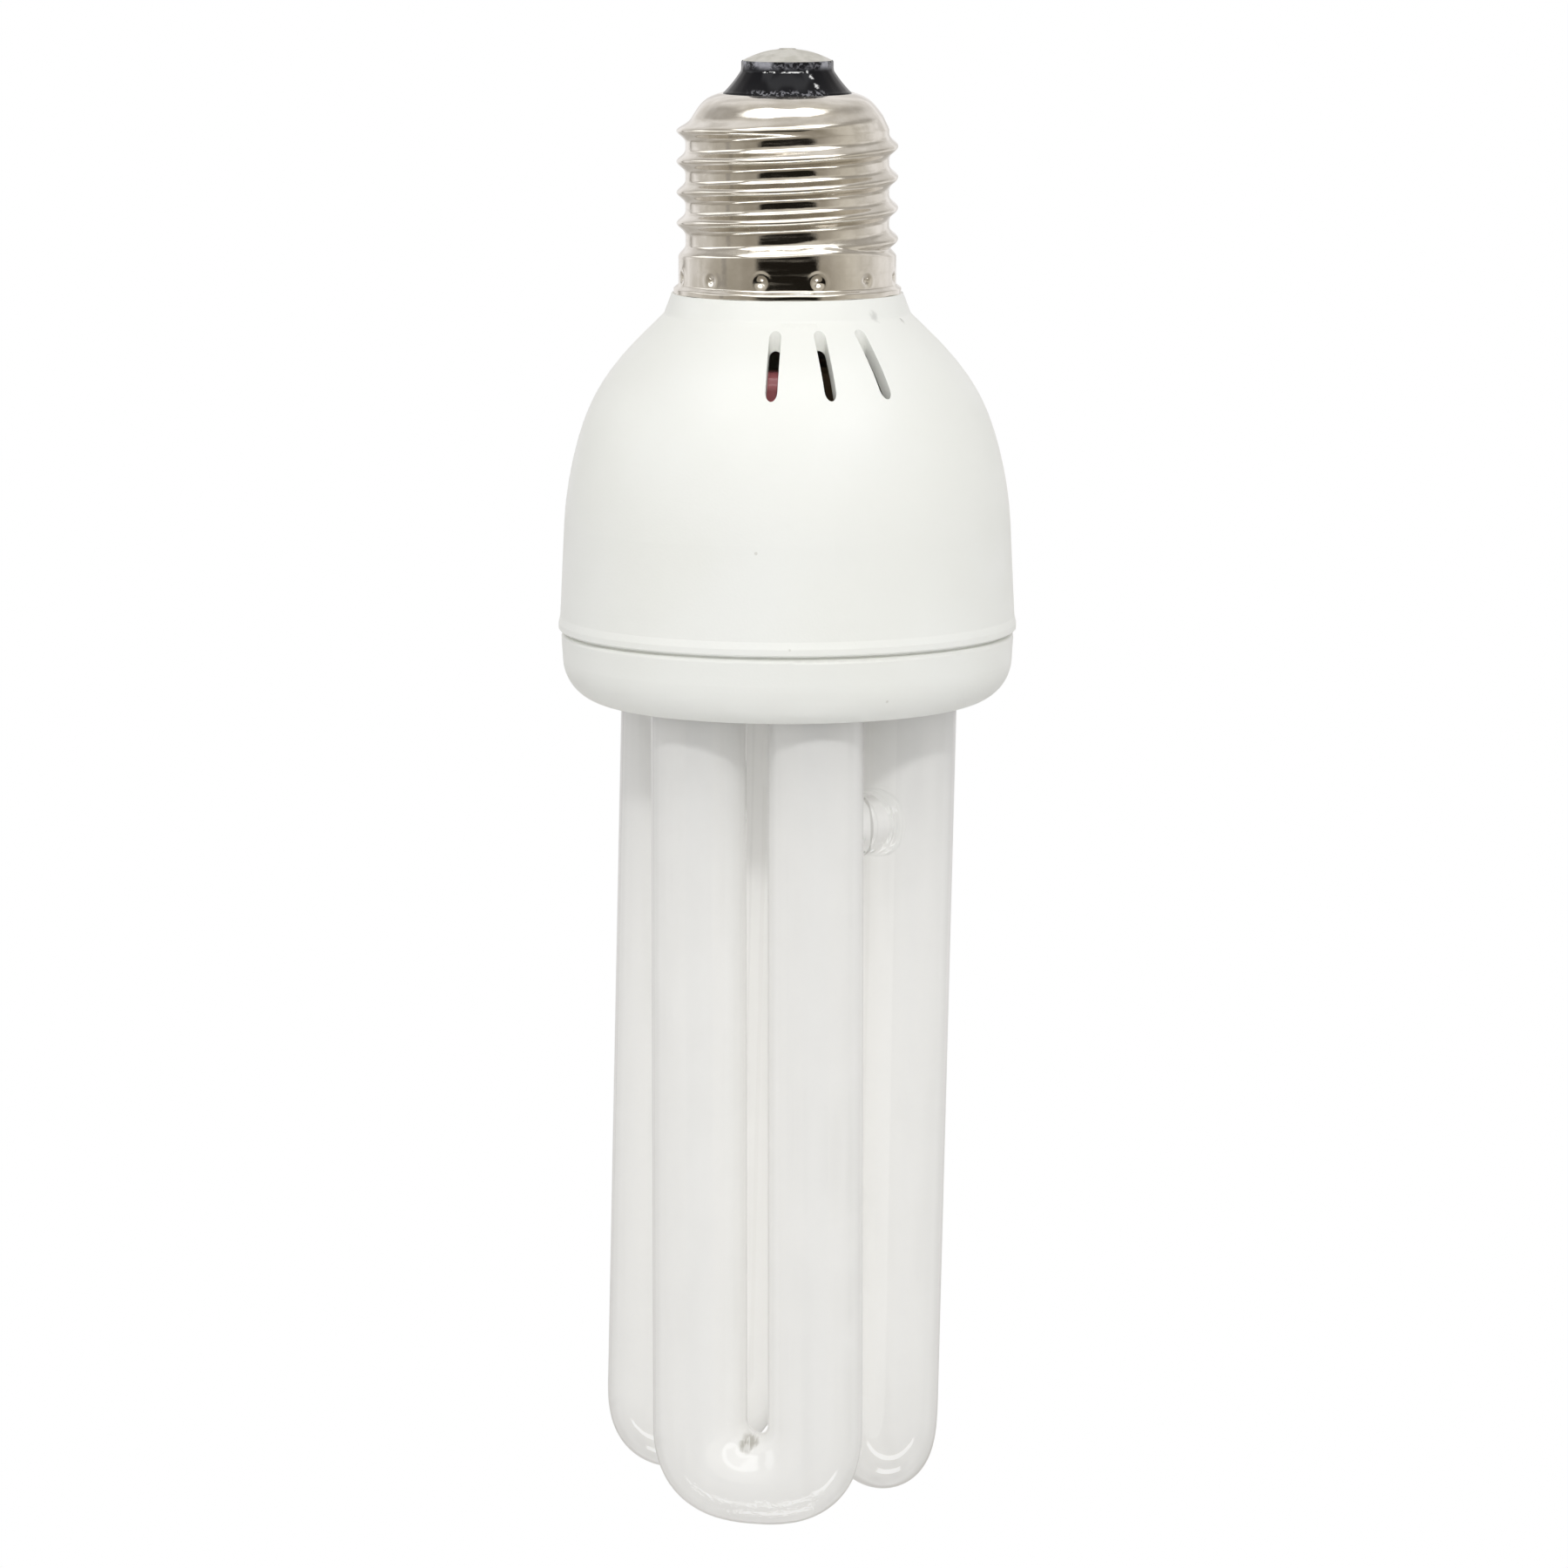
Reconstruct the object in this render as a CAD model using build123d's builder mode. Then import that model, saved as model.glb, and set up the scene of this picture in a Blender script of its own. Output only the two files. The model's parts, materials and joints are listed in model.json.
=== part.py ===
"""Compact reptile lamp: screw cap, vented housing, three fused U tubes and the ballast inside.

Millimetres, +Z up, the cap on top. The lamp axis is Z and the lowest bend is at Z = 0. The front is -Y.
"""
import math
import os

from build123d import *

os.makedirs("parts", exist_ok=True)

# Fits
SLIP = 0.1                   # radial play between pieces that slide together
SEAL_PLAY = 0.05             # play round a wire or leg that is sealed in
LOOSE = 0.45                 # radial play of a tube leg in the holder's floor

# Glass vessel
LEG_D = 11.3
LEG_GAP = 3.0                # between the two legs of one U
U_RADIUS = 13.1              # lamp axis to the middle of a U
FIRST_U = -15.8              # degrees from the front to the first U
U_LEANS = ((0.0, 0.2), (-1.25, 2.5), (-1.35, 2.5))   # degrees that each U leans to +X and +Y at its bend
SADDLE_Z = 10.5              # lowest point to the saddle between the legs
BEND_SQUARENESS = 2.45       # exponent of the bend's outline, where 2 is an ellipse
BEND_SECTIONS = 8
BRIDGE_D = 7.2
BRIDGE_Z = 83.0
ROOT_HEIGHT = 9.0            # sealed leg ends above the holder's floor
ROOT_ROUND = 3.5
SEAL_DEPTH = 2.5
SEAL_SPREAD = 1.4            # leg axis to each of the two wires in an electrode end

# Tube holder
HOLDER_Z = 97.8
HOLDER_HEIGHT = 8.15         # underside to the groove
HOLDER_DRAFT = 0.5
HOLDER_ROUND = 5.2
HOLDER_EDGE = 0.5
HOLDER_WALL = 1.8
WELL_PLAY = 0.65             # cement beads to the wall round them
FLOOR = 2.0
GROOVE_DEPTH = 0.7
GROOVE_HEIGHT = 0.35
CEMENT_WIDTH = 1.9
CEMENT_HEIGHT = 2.2

# Dome housing
DOME_WALL = 1.7
WALL_DRAFT = 0.04            # taper of the lower wall, a length per length
LIP_HEIGHT = 1.7
LIP_STEP = 0.2
LIP_OVERHANG = 0.3           # lip past the holder's ring
SHOULDER_HEIGHT = 12.7       # lip to where the wall starts to curve in
NECK_ROOT_HEIGHT = 37.6      # lip to the root of the neck
NECK_LEDGE = 0.22            # neck past the cap's rim
NECK_SPREAD = 0.9            # neck's root past its top
NECK_HEIGHT = 2.4
ROOT_SLOPE = 45.0            # degrees from the axis where the dome meets the neck
SHOULDER_CURVE = ((0.105, 0.333), (0.33, 0.625), (0.665, 0.84))   # shares of the way in and of the way up
SPIGOT_HEIGHT = 4.0
SPIGOT_WALL = 1.6
SPIGOT_CHAMFER = 0.6
NECK_FILLET = 0.6

# Vent slots
VENT_GROUPS = 2
VENTS = 3
VENT_MIDDLE = 13.4           # degrees from the front to the middle slot of the first group
VENT_STEP = 18.4
VENT_WIDTH = 1.4
VENT_ENDS = (0.6, 0.955)     # shares of the way up the shoulder to the ends of a slot

# Screw cap
SHEET = 0.4
CREST_R = 13.1
ROOT_R = 12.05
SKIRT_DROP = 0.2             # skirt inside the thread's crests
THREAD_PITCH = 3.63
FLANK_HALF = 1.5             # half the ridge's width at its root
CROWN_HALF = 0.75            # half the ridge's width where its crown starts
CROWN_DROP = 0.35            # crest to where its crown starts
SKIRT_HEIGHT = 4.2
RIM_FLARE = 0.58
RIM_HEIGHT = 0.8
THREAD_HEIGHT = 15.0
END_HEIGHT = 4.3             # thread to the shell's end
SHELL_END_R = 8.1
SHOULDER_BULGE = 0.4
THREAD_START = 142.0         # degrees from +X to the thread's lower end

# Insulator and contact
INSULATOR_FOOT = 2.6         # part of the insulator inside the shell
CONE_HEIGHT = 3.6
CONE_R = 5.45
COLLAR_HEIGHT = 0.9
CONTACT_R = 5.25
CONTACT_EDGE = 0.25
CONTACT_RISE = 1.35
EYELET_R = 1.1
SOLDER_RISE = 0.1

# Ballast board
BOARD_RISE = 7.7             # lip to the underside of the board
BOARD_THICK = 1.6
BOARD_GAP = 0.5              # board edge to the dome's wall
LEAD_R = 0.35
WIRE_R = 0.55
WIRE_BEND = 2.0
TUBE_LEAD_R = 0.3
PIN_SIDE = 0.8
PIN_HEIGHT = 4.0
PIN_STEP = 1.5               # tube lead to its wrap pin

# Parts on the board, with the place of each one's middle
SMOOTHING_D = 12.5
SMOOTHING_HEIGHT = 22.5
SMOOTHING_CRIMP = 0.65
SMOOTHING_AT = (6.0, -2.4)
FILM_THICK = 6.0
FILM_ROUND = 2.0
START_SIZE = (10.0, 14.5)    # width and height of the red film capacitor
START_STANDOFF = 8.0
START_AT = (-3.2, -13.0)
COUPLING_SIZE = (9.0, 9.5)
COUPLING_STANDOFF = 1.5
COUPLING_AT = (14.6, -11.2)
CORE_WIDTH = 16.0
CORE_HEIGHT = 14.4
CORE_DEPTH = 4.8
CORE_LEG = 2.6               # outer legs and yokes of the choke core
CORE_MIDDLE = 4.6
CHOKE_AT = (-8.2, 5.6)
FORMER_WALL = 0.7
FORMER_REACH = 2.6           # flange past the core's middle leg
WINDING_ROUND = 1.3
TOROID_R = 4.6
TOROID_BORE = 2.4
TOROID_HEIGHT = 4.2
TOROID_AT = (-16.6, -6.6)
TRANSISTOR_WIDTH = 7.8
TRANSISTOR_THICK = 2.8
TRANSISTOR_HEIGHT = 10.8
TRANSISTOR_STANDOFF = 3.0
TRANSISTOR_LEG_STEP = 2.3
FIRST_TRANSISTOR_AT = (8.4, 14.0)
SECOND_TRANSISTOR_AT = (-1.4, 17.6)
DIODE_R = 1.35
DIODE_LENGTH = 5.2
AXIAL_RISE = 2.2             # board to the axis of an axial part
DIODE_PITCH = 4.0
AXIAL_SPAN = 8.4             # between the feet of an axial part
DIODES = 4
DIODES_AT = (17.0, 3.0)
RESISTOR_R = 1.1
RESISTOR_LENGTH = 6.0
RESISTORS = 2
RESISTOR_PITCH = 3.0
RESISTORS_AT = (-11.6, -15.2)
DRUM_R = 3.2
DRUM_HEIGHT = 9.0
DRUM_RIM = 1.2
DRUM_WAIST = 2.0
DRUM_AT = (-13.6, 14.4)
FUSE_R = 2.2
FUSE_HEIGHT = 11.0
FUSE_RISE = 9.0
SHELL_LEAD_AT = (2.2, 10.8)
CONTACT_LEAD_AT = (3.5, 7.5)
CONTACT_LEAD_DROP = 11.75    # cap rim to where the centre lead turns inward

LEG_PITCH = LEG_D + LEG_GAP
HOLDER_TOP_Z = HOLDER_Z + HOLDER_HEIGHT
LIP_Z = HOLDER_TOP_Z + GROOVE_HEIGHT
FLOOR_TOP_Z = HOLDER_Z + FLOOR
BOARD_Z = LIP_Z + BOARD_RISE
BOARD_TOP = BOARD_Z + BOARD_THICK
NECK_ROOT_Z = LIP_Z + NECK_ROOT_HEIGHT
RIM_Z = NECK_ROOT_Z + NECK_HEIGHT
SKIRT_R = CREST_R - SKIRT_DROP
LEG_TOP_Z = FLOOR_TOP_Z + ROOT_HEIGHT
WELL_R = math.hypot(U_RADIUS, LEG_PITCH / 2) + LEG_D / 2 + CEMENT_WIDTH + WELL_PLAY
SPIGOT_TOP_R = WELL_R + HOLDER_WALL
SPIGOT_R = SPIGOT_TOP_R + WALL_DRAFT * BOARD_RISE
BORE_R = SPIGOT_R + SLIP
DOME_R = BORE_R + DOME_WALL + LIP_STEP
HOLDER_R = DOME_R - LIP_OVERHANG
SHOULDER_R = BORE_R + DOME_WALL - WALL_DRAFT * SHOULDER_HEIGHT
NECK_TOP_R = SKIRT_R + RIM_FLARE + NECK_LEDGE
NECK_ROOT_R = NECK_TOP_R + NECK_SPREAD


def around(radius, degrees, height=0.0):
    """Point at a radius from the lamp axis, turned by degrees from the front."""
    turn = math.radians(degrees)
    return Vector(radius * math.sin(turn), -radius * math.cos(turn), height)


def u_place(index):
    """Where a U drawn about the Z axis goes: on its spoke, leaning about the holder's floor."""
    turn = FIRST_U + index * 360 / len(U_LEANS)
    lean_x, lean_y = U_LEANS[index]
    foot = around(U_RADIUS, turn, HOLDER_Z)
    lean = Location((0, 0, 0), (lean_y, -lean_x, 0))
    return Location(foot) * lean * Location((0, 0, -HOLDER_Z), (0, 0, turn))


def on_leg(index, side, height):
    """Point on the axis of one leg of a U, side -1 or 1."""
    return (u_place(index) * Location((side * LEG_PITCH / 2, 0, height))).position


def inset(curve, share, amount):
    """Point on the left of a curve, at a share of its length."""
    heading = curve % share
    return curve @ share + Vector(-heading.Y, heading.X) * amount


def save(builder, label):
    """Names a finished piece and writes its file."""
    builder.part.label = label
    export_step(builder.part, f"parts/{label}.step")


# One U tube, drawn about the Z axis: sections fan out round the saddle between two straight legs
half_gap = LEG_GAP / 2
pivot_z = SADDLE_Z + half_gap
with BuildPart() as u_tube:
    for section in range(BEND_SECTIONS + 1):
        fan = math.pi * section / BEND_SECTIONS
        across = abs(math.cos(fan)) / (half_gap + LEG_D)
        down = math.sin(fan) / pivot_z
        reach = (across**BEND_SQUARENESS + down**BEND_SQUARENESS) ** (-1 / BEND_SQUARENESS)
        spoke = Vector(math.cos(fan), 0, -math.sin(fan))
        along = Vector(-math.sin(fan), 0, -math.cos(fan))
        middle = Vector(0, 0, pivot_z) + spoke * ((reach + half_gap) / 2)
        with BuildSketch(Plane(origin=middle, x_dir=spoke, z_dir=along)):
            with BuildLine():
                EllipticalCenterArc((0, 0), (reach - half_gap) / 2, LEG_D / 2, arc_size=360)
            make_face()
    loft()
    with Locations((-LEG_PITCH / 2, 0, pivot_z), (LEG_PITCH / 2, 0, pivot_z)):
        Cylinder(LEG_D / 2, LEG_TOP_Z - pivot_z, align=(Align.CENTER, Align.CENTER, Align.MIN))
    fillet(u_tube.edges().group_by(Axis.Z)[-1], ROOT_ROUND)

electrode_ends = ((0, -1), (len(U_LEANS) - 1, 1))
tube_lead_feet = []
for index, side in electrode_ends:
    for offset_x in (-SEAL_SPREAD, SEAL_SPREAD):
        foot = on_leg(index, side, LEG_TOP_Z - SEAL_DEPTH)
        tube_lead_feet.append(foot + Vector(offset_x, 0, 0))

with BuildPart() as discharge_vessel:
    with Locations([u_place(index) for index in range(len(U_LEANS))]):
        add(u_tube.part)
    for index in range(len(U_LEANS) - 1):
        start = on_leg(index, 1, BRIDGE_Z)
        span = on_leg(index + 1, -1, BRIDGE_Z) - start
        with BuildSketch(Plane(origin=start, z_dir=span)):
            Circle(BRIDGE_D / 2)
        extrude(amount=span.length)
    for foot in tube_lead_feet:
        with Locations(foot):
            Cylinder(TUBE_LEAD_R + SEAL_PLAY, 2 * SEAL_DEPTH,
                     align=(Align.CENTER, Align.CENTER, Align.MIN), mode=Mode.SUBTRACT)
save(discharge_vessel, "discharge_vessel")

# Tube holder: a drafted ring with a floor, a groove below the dome's lip and a spigot inside the dome
with BuildPart() as tube_holder:
    with BuildSketch(Plane.XZ):
        with BuildLine():
            Polyline(
                (0, HOLDER_Z),
                (HOLDER_R - HOLDER_DRAFT, HOLDER_Z),
                (HOLDER_R, HOLDER_TOP_Z),
                (HOLDER_R - GROOVE_DEPTH, HOLDER_TOP_Z),
                (HOLDER_R - GROOVE_DEPTH, LIP_Z),
                (SPIGOT_R, LIP_Z),
                (SPIGOT_TOP_R, BOARD_Z),
                (WELL_R, BOARD_Z),
                (WELL_R, FLOOR_TOP_Z),
                (0, FLOOR_TOP_Z),
                close=True,
            )
        make_face()
    revolve(axis=Axis.Z)
    outer_foot = tube_holder.edges().filter_by(GeomType.CIRCLE).group_by(Axis.Z)[0]
    fillet(outer_foot, HOLDER_ROUND)
    top_edges = tube_holder.edges().filter_by_position(Axis.Z, HOLDER_TOP_Z - SLIP, HOLDER_TOP_Z + SLIP)
    fillet(top_edges.filter_by(GeomType.CIRCLE).sort_by(SortBy.RADIUS)[-1], HOLDER_EDGE)
    for index in range(len(U_LEANS)):
        for side in (-1, 1):
            with Locations(u_place(index) * Location((side * LEG_PITCH / 2, 0, HOLDER_Z + FLOOR / 2))):
                Cylinder(LEG_D / 2 + LOOSE, 3 * FLOOR, mode=Mode.SUBTRACT)
save(tube_holder, "tube_holder")

# Silicone bead round the two roots of each U
for index in range(len(U_LEANS)):
    with BuildPart() as tube_cement:
        roots = [on_leg(index, side, FLOOR_TOP_Z) for side in (-1, 1)]
        with BuildSketch(Plane.XY.offset(FLOOR_TOP_Z)):
            with Locations([(root.X, root.Y) for root in roots]):
                Circle(LEG_D / 2 + CEMENT_WIDTH)
        extrude(amount=CEMENT_HEIGHT)
        for side in (-1, 1):
            with Locations(u_place(index) * Location((side * LEG_PITCH / 2, 0, FLOOR_TOP_Z))):
                Cylinder(LEG_D / 2 + SEAL_PLAY, 4 * CEMENT_HEIGHT, mode=Mode.SUBTRACT)
    save(tube_cement, f"tube_cement_{index + 1}")

# Dome housing: one wall from the lip to the neck, whose spigot goes into the cap
way_in = SHOULDER_R - NECK_ROOT_R
way_up = NECK_ROOT_HEIGHT - SHOULDER_HEIGHT
shoulder_z = LIP_Z + SHOULDER_HEIGHT
slope = math.radians(ROOT_SLOPE)
curve = [(SHOULDER_R - inward * way_in, shoulder_z + upward * way_up) for inward, upward in SHOULDER_CURVE]
cap_bore = SKIRT_R - SHEET
spigot_r = cap_bore - SLIP
spigot_top = RIM_Z + SPIGOT_HEIGHT
neck_bore = spigot_r - SPIGOT_WALL
with BuildPart() as dome_housing:
    with BuildSketch(Plane.XZ):
        with BuildLine():
            shoulder = Spline(
                (SHOULDER_R, shoulder_z),
                *curve,
                (NECK_ROOT_R, NECK_ROOT_Z),
                tangents=((SHOULDER_R - DOME_R, SHOULDER_HEIGHT), (-math.sin(slope), math.cos(slope))),
            )
            inner = [inset(shoulder, share, DOME_WALL) for share in (1, 0.8, 0.6, 0.4, 0.2, 0)]
            Polyline(
                shoulder @ 1,
                (NECK_TOP_R, RIM_Z),
                (spigot_r, RIM_Z),
                (spigot_r, spigot_top - SPIGOT_CHAMFER),
                (spigot_r - SPIGOT_CHAMFER, spigot_top),
                (neck_bore, spigot_top),
                (neck_bore, inner[0].Y),
                inner[0],
            )
            Spline(*inner)
            Polyline(
                inner[-1],
                (BORE_R, LIP_Z),
                (DOME_R - LIP_STEP, LIP_Z),
                (DOME_R, LIP_Z + LIP_STEP),
                (DOME_R, LIP_Z + LIP_HEIGHT / 2),
                (DOME_R - LIP_STEP, LIP_Z + LIP_HEIGHT),
                shoulder @ 0,
            )
        make_face()
    revolve(axis=Axis.Z)
    neck_root = dome_housing.edges().filter_by_position(Axis.Z, NECK_ROOT_Z - SLIP, NECK_ROOT_Z + SLIP)
    fillet(neck_root, NECK_FILLET)
    vent_outer, vent_inner = [(shoulder @ share).X for share in VENT_ENDS]
    with BuildSketch(Plane.XY.offset(NECK_ROOT_Z)):
        for group in range(VENT_GROUPS):
            for vent in range(VENTS):
                turn = VENT_MIDDLE + group * 360 / VENT_GROUPS + (vent - (VENTS - 1) / 2) * VENT_STEP
                with Locations(Location(around((vent_outer + vent_inner) / 2, turn), (0, 0, turn + 90))):
                    SlotOverall(vent_outer - vent_inner, VENT_WIDTH)
    extrude(amount=-(NECK_ROOT_Z - shoulder_z), mode=Mode.SUBTRACT)
save(dome_housing, "dome_housing")

# Cap shell: drawn sheet with a flared rim, a skirt and a rolled thread that runs out at both ends
skirt_top = RIM_Z + SKIRT_HEIGHT
thread_top = skirt_top + THREAD_HEIGHT
shell_end = thread_top + END_HEIGHT
ridge = CREST_R - ROOT_R
end_bulge = ((ROOT_R + SHELL_END_R) / 2 + SHOULDER_BULGE, (thread_top + shell_end) / 2 + SHOULDER_BULGE)
with BuildPart() as cap_shell:
    with BuildSketch(Plane.XZ):
        with BuildLine():
            Polyline(
                (0, RIM_Z),
                (SKIRT_R + RIM_FLARE, RIM_Z),
                (SKIRT_R + RIM_FLARE, RIM_Z + SHEET),
                (SKIRT_R, RIM_Z + RIM_HEIGHT),
                (SKIRT_R, skirt_top),
                (ROOT_R, skirt_top + ridge),
                (ROOT_R, thread_top),
            )
            ThreePointArc((ROOT_R, thread_top), end_bulge, (SHELL_END_R, shell_end))
            Polyline((SHELL_END_R, shell_end), (0, shell_end), (0, RIM_Z))
        make_face()
    revolve(axis=Axis.Z)
    with BuildLine():
        helix = Helix(THREAD_PITCH, THREAD_HEIGHT + THREAD_PITCH / 2, ROOT_R, center=(0, 0, skirt_top))
    with BuildSketch(Plane(origin=helix @ 0, x_dir=(1, 0, 0), z_dir=helix % 0)):
        with BuildLine():
            flank = Polyline((-SHEET / 2, -FLANK_HALF), (0, -FLANK_HALF), (ridge - CROWN_DROP, -CROWN_HALF))
            crown = ThreePointArc(flank @ 1, (ridge, 0), (ridge - CROWN_DROP, CROWN_HALF))
            Polyline(crown @ 1, (0, FLANK_HALF), (-SHEET / 2, FLANK_HALF), flank @ 0)
        make_face()
    sweep(path=helix, is_frenet=True)
    with BuildSketch(Plane.XZ):
        with BuildLine():
            runout = ThreePointArc(
                (CREST_R + SHEET, thread_top - ridge),
                (end_bulge[0] + SHEET, end_bulge[1]),
                (SHELL_END_R, shell_end),
            )
            Polyline(
                runout @ 1,
                (0, shell_end),
                (0, RIM_Z),
                (SKIRT_R + RIM_FLARE + SHEET, RIM_Z),
                (CREST_R + SHEET, skirt_top),
                runout @ 0,
            )
        make_face()
    revolve(axis=Axis.Z, mode=Mode.INTERSECT)
    with BuildSketch(Plane.XZ):
        with BuildLine():
            Polyline(
                (0, RIM_Z),
                (cap_bore, RIM_Z),
                (cap_bore, skirt_top),
                (ROOT_R - SHEET, skirt_top + SHEET),
                (ROOT_R - SHEET, thread_top),
                (SHELL_END_R, shell_end - SHEET),
                (SHELL_END_R - SHEET, shell_end),
                (0, shell_end),
                close=True,
            )
        make_face()
    revolve(axis=Axis.Z, mode=Mode.SUBTRACT)
cap_shell.part.locate(Location((0, 0, 0), (0, 0, THREAD_START)))
save(cap_shell, "cap_shell")

# Insulator: a glass cone whose foot fills the end of the shell
hole_r = SHELL_END_R - SHEET
cone_top = shell_end + CONE_HEIGHT
foot_z = shell_end - SHEET - INSULATOR_FOOT
shell_flare = (ROOT_R - SHEET - SHELL_END_R) / (shell_end - SHEET - thread_top)
lead_bore = WIRE_R + SEAL_PLAY
with BuildPart() as cap_insulator:
    with BuildSketch(Plane.XZ):
        with BuildLine():
            Polyline(
                (lead_bore, foot_z),
                (SHELL_END_R + shell_flare * INSULATOR_FOOT - 2 * SLIP, foot_z),
                (SHELL_END_R - 2 * SLIP, shell_end - SHEET),
                (hole_r - SLIP, shell_end - SHEET),
                (hole_r - SLIP, shell_end),
                (CONE_R, cone_top - COLLAR_HEIGHT),
                (CONE_R, cone_top),
                (lead_bore, cone_top),
                close=True,
            )
        make_face()
    revolve(axis=Axis.Z)
save(cap_insulator, "cap_insulator")

# Contact: a domed plate with an eyelet, closed by a bead of solder round the lead
contact_top = cone_top + CONTACT_EDGE + CONTACT_RISE
plate_curve = (CONTACT_R**2 + CONTACT_RISE**2) / (2 * CONTACT_RISE)
plate_hole_z = contact_top - plate_curve + math.sqrt(plate_curve**2 - EYELET_R**2)
with BuildPart() as contact_plate:
    with BuildSketch(Plane.XZ):
        with BuildLine():
            Polyline(
                (EYELET_R, plate_hole_z),
                (EYELET_R, cone_top),
                (CONTACT_R, cone_top),
                (CONTACT_R, cone_top + CONTACT_EDGE),
            )
            RadiusArc((CONTACT_R, cone_top + CONTACT_EDGE), (EYELET_R, plate_hole_z), -plate_curve)
        make_face()
    revolve(axis=Axis.Z)
save(contact_plate, "contact_plate")

bead_r = EYELET_R - SEAL_PLAY
with BuildPart() as contact_solder:
    with BuildSketch(Plane.XZ):
        with BuildLine():
            Polyline(
                (bead_r, plate_hole_z),
                (bead_r - SOLDER_RISE, plate_hole_z + SOLDER_RISE),
                (0, plate_hole_z + SOLDER_RISE),
                (0, cone_top + CONTACT_RISE / 2),
                (lead_bore, cone_top + CONTACT_RISE / 2),
                (lead_bore, cone_top),
                (bead_r, cone_top),
                close=True,
            )
        make_face()
    revolve(axis=Axis.Z)
save(contact_solder, "contact_solder")

# Ballast board, on the rim of the holder's spigot
board_r = BORE_R - WALL_DRAFT * (BOARD_RISE + BOARD_THICK) - BOARD_GAP
with BuildPart() as ballast_board:
    with Locations((0, 0, BOARD_Z)):
        Cylinder(board_r, BOARD_THICK, align=(Align.CENTER, Align.CENTER, Align.MIN))
save(ballast_board, "ballast_board")

# Smoothing capacitor: a rounded can with the crimp round its foot
with BuildPart() as smoothing_capacitor:
    with BuildSketch(Plane.XZ):
        with BuildLine():
            can_r = SMOOTHING_D / 2
            Polyline(
                (0, 0),
                (can_r - SMOOTHING_CRIMP, 0),
                (can_r, SMOOTHING_CRIMP),
                (can_r, 2 * SMOOTHING_CRIMP),
                (can_r - SMOOTHING_CRIMP, 3 * SMOOTHING_CRIMP),
                (can_r, 4 * SMOOTHING_CRIMP),
                (can_r, SMOOTHING_HEIGHT - SMOOTHING_CRIMP),
                (can_r - SMOOTHING_CRIMP, SMOOTHING_HEIGHT),
                (0, SMOOTHING_HEIGHT),
                close=True,
            )
        make_face()
    revolve(axis=Axis.Z)
smoothing_capacitor.part.locate(Location((*SMOOTHING_AT, BOARD_TOP)))
save(smoothing_capacitor, "smoothing_capacitor")


def film_capacitor(label, size, standoff, at):
    """Dipped film capacitor: a flat rounded body on two leads that end on the board."""
    width, height = size
    with BuildPart() as capacitor:
        with BuildSketch(Plane.XY.offset(BOARD_TOP + standoff)):
            with Locations(at):
                SlotOverall(width, FILM_THICK)
        extrude(amount=height)
        fillet(capacitor.faces().sort_by(Axis.Z)[-1].edges(), FILM_ROUND)
        with Locations((at[0] - width / 4, at[1], BOARD_TOP), (at[0] + width / 4, at[1], BOARD_TOP)):
            Cylinder(LEAD_R, standoff, align=(Align.CENTER, Align.CENTER, Align.MIN))
    save(capacitor, label)


film_capacitor("start_capacitor", START_SIZE, START_STANDOFF, START_AT)
film_capacitor("coupling_capacitor", COUPLING_SIZE, COUPLING_STANDOFF, COUPLING_AT)

# Choke: a glued pair of E cores, with a former and its winding round the middle leg
window_width = (CORE_WIDTH - CORE_MIDDLE) / 2 - CORE_LEG
window_height = CORE_HEIGHT - 2 * CORE_LEG
choke_middle = (*CHOKE_AT, BOARD_TOP + CORE_HEIGHT / 2)
with BuildPart() as choke_core:
    with Locations(choke_middle):
        Box(CORE_WIDTH, CORE_DEPTH, CORE_HEIGHT)
        with Locations(((CORE_MIDDLE + window_width) / 2, 0, 0), (-(CORE_MIDDLE + window_width) / 2, 0, 0)):
            Box(window_width, CORE_DEPTH, window_height, mode=Mode.SUBTRACT)
save(choke_core, "choke_core")

sleeve = (CORE_MIDDLE + 2 * SLIP + 2 * FORMER_WALL, CORE_DEPTH + 2 * SLIP + 2 * FORMER_WALL)
flange = (CORE_MIDDLE + 2 * FORMER_REACH, CORE_DEPTH + 2 * FORMER_REACH)
former_height = window_height - 2 * SLIP
with BuildPart() as choke_former:
    with Locations(choke_middle):
        Box(*sleeve, former_height)
        with Locations((0, 0, (former_height - FORMER_WALL) / 2), (0, 0, (FORMER_WALL - former_height) / 2)):
            Box(*flange, FORMER_WALL)
        Box(CORE_MIDDLE + 2 * SLIP, CORE_DEPTH + 2 * SLIP, former_height, mode=Mode.SUBTRACT)
save(choke_former, "choke_former")

with BuildPart() as choke_winding:
    with Locations(choke_middle):
        Box(flange[0] - 4 * SLIP, flange[1] - 4 * SLIP, former_height - 2 * FORMER_WALL - 2 * SLIP)
        fillet(choke_winding.edges().filter_by(Axis.Z), WINDING_ROUND)
        Box(sleeve[0] + 2 * SLIP, sleeve[1] + 2 * SLIP, former_height, mode=Mode.SUBTRACT)
save(choke_winding, "choke_winding")

# Driver toroid
with BuildPart() as driver_toroid:
    with BuildSketch(Plane.XY.offset(BOARD_TOP)):
        with Locations(TOROID_AT):
            Circle(TOROID_R)
            Circle(TOROID_BORE, mode=Mode.SUBTRACT)
    extrude(amount=TOROID_HEIGHT)
save(driver_toroid, "driver_toroid")

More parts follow.
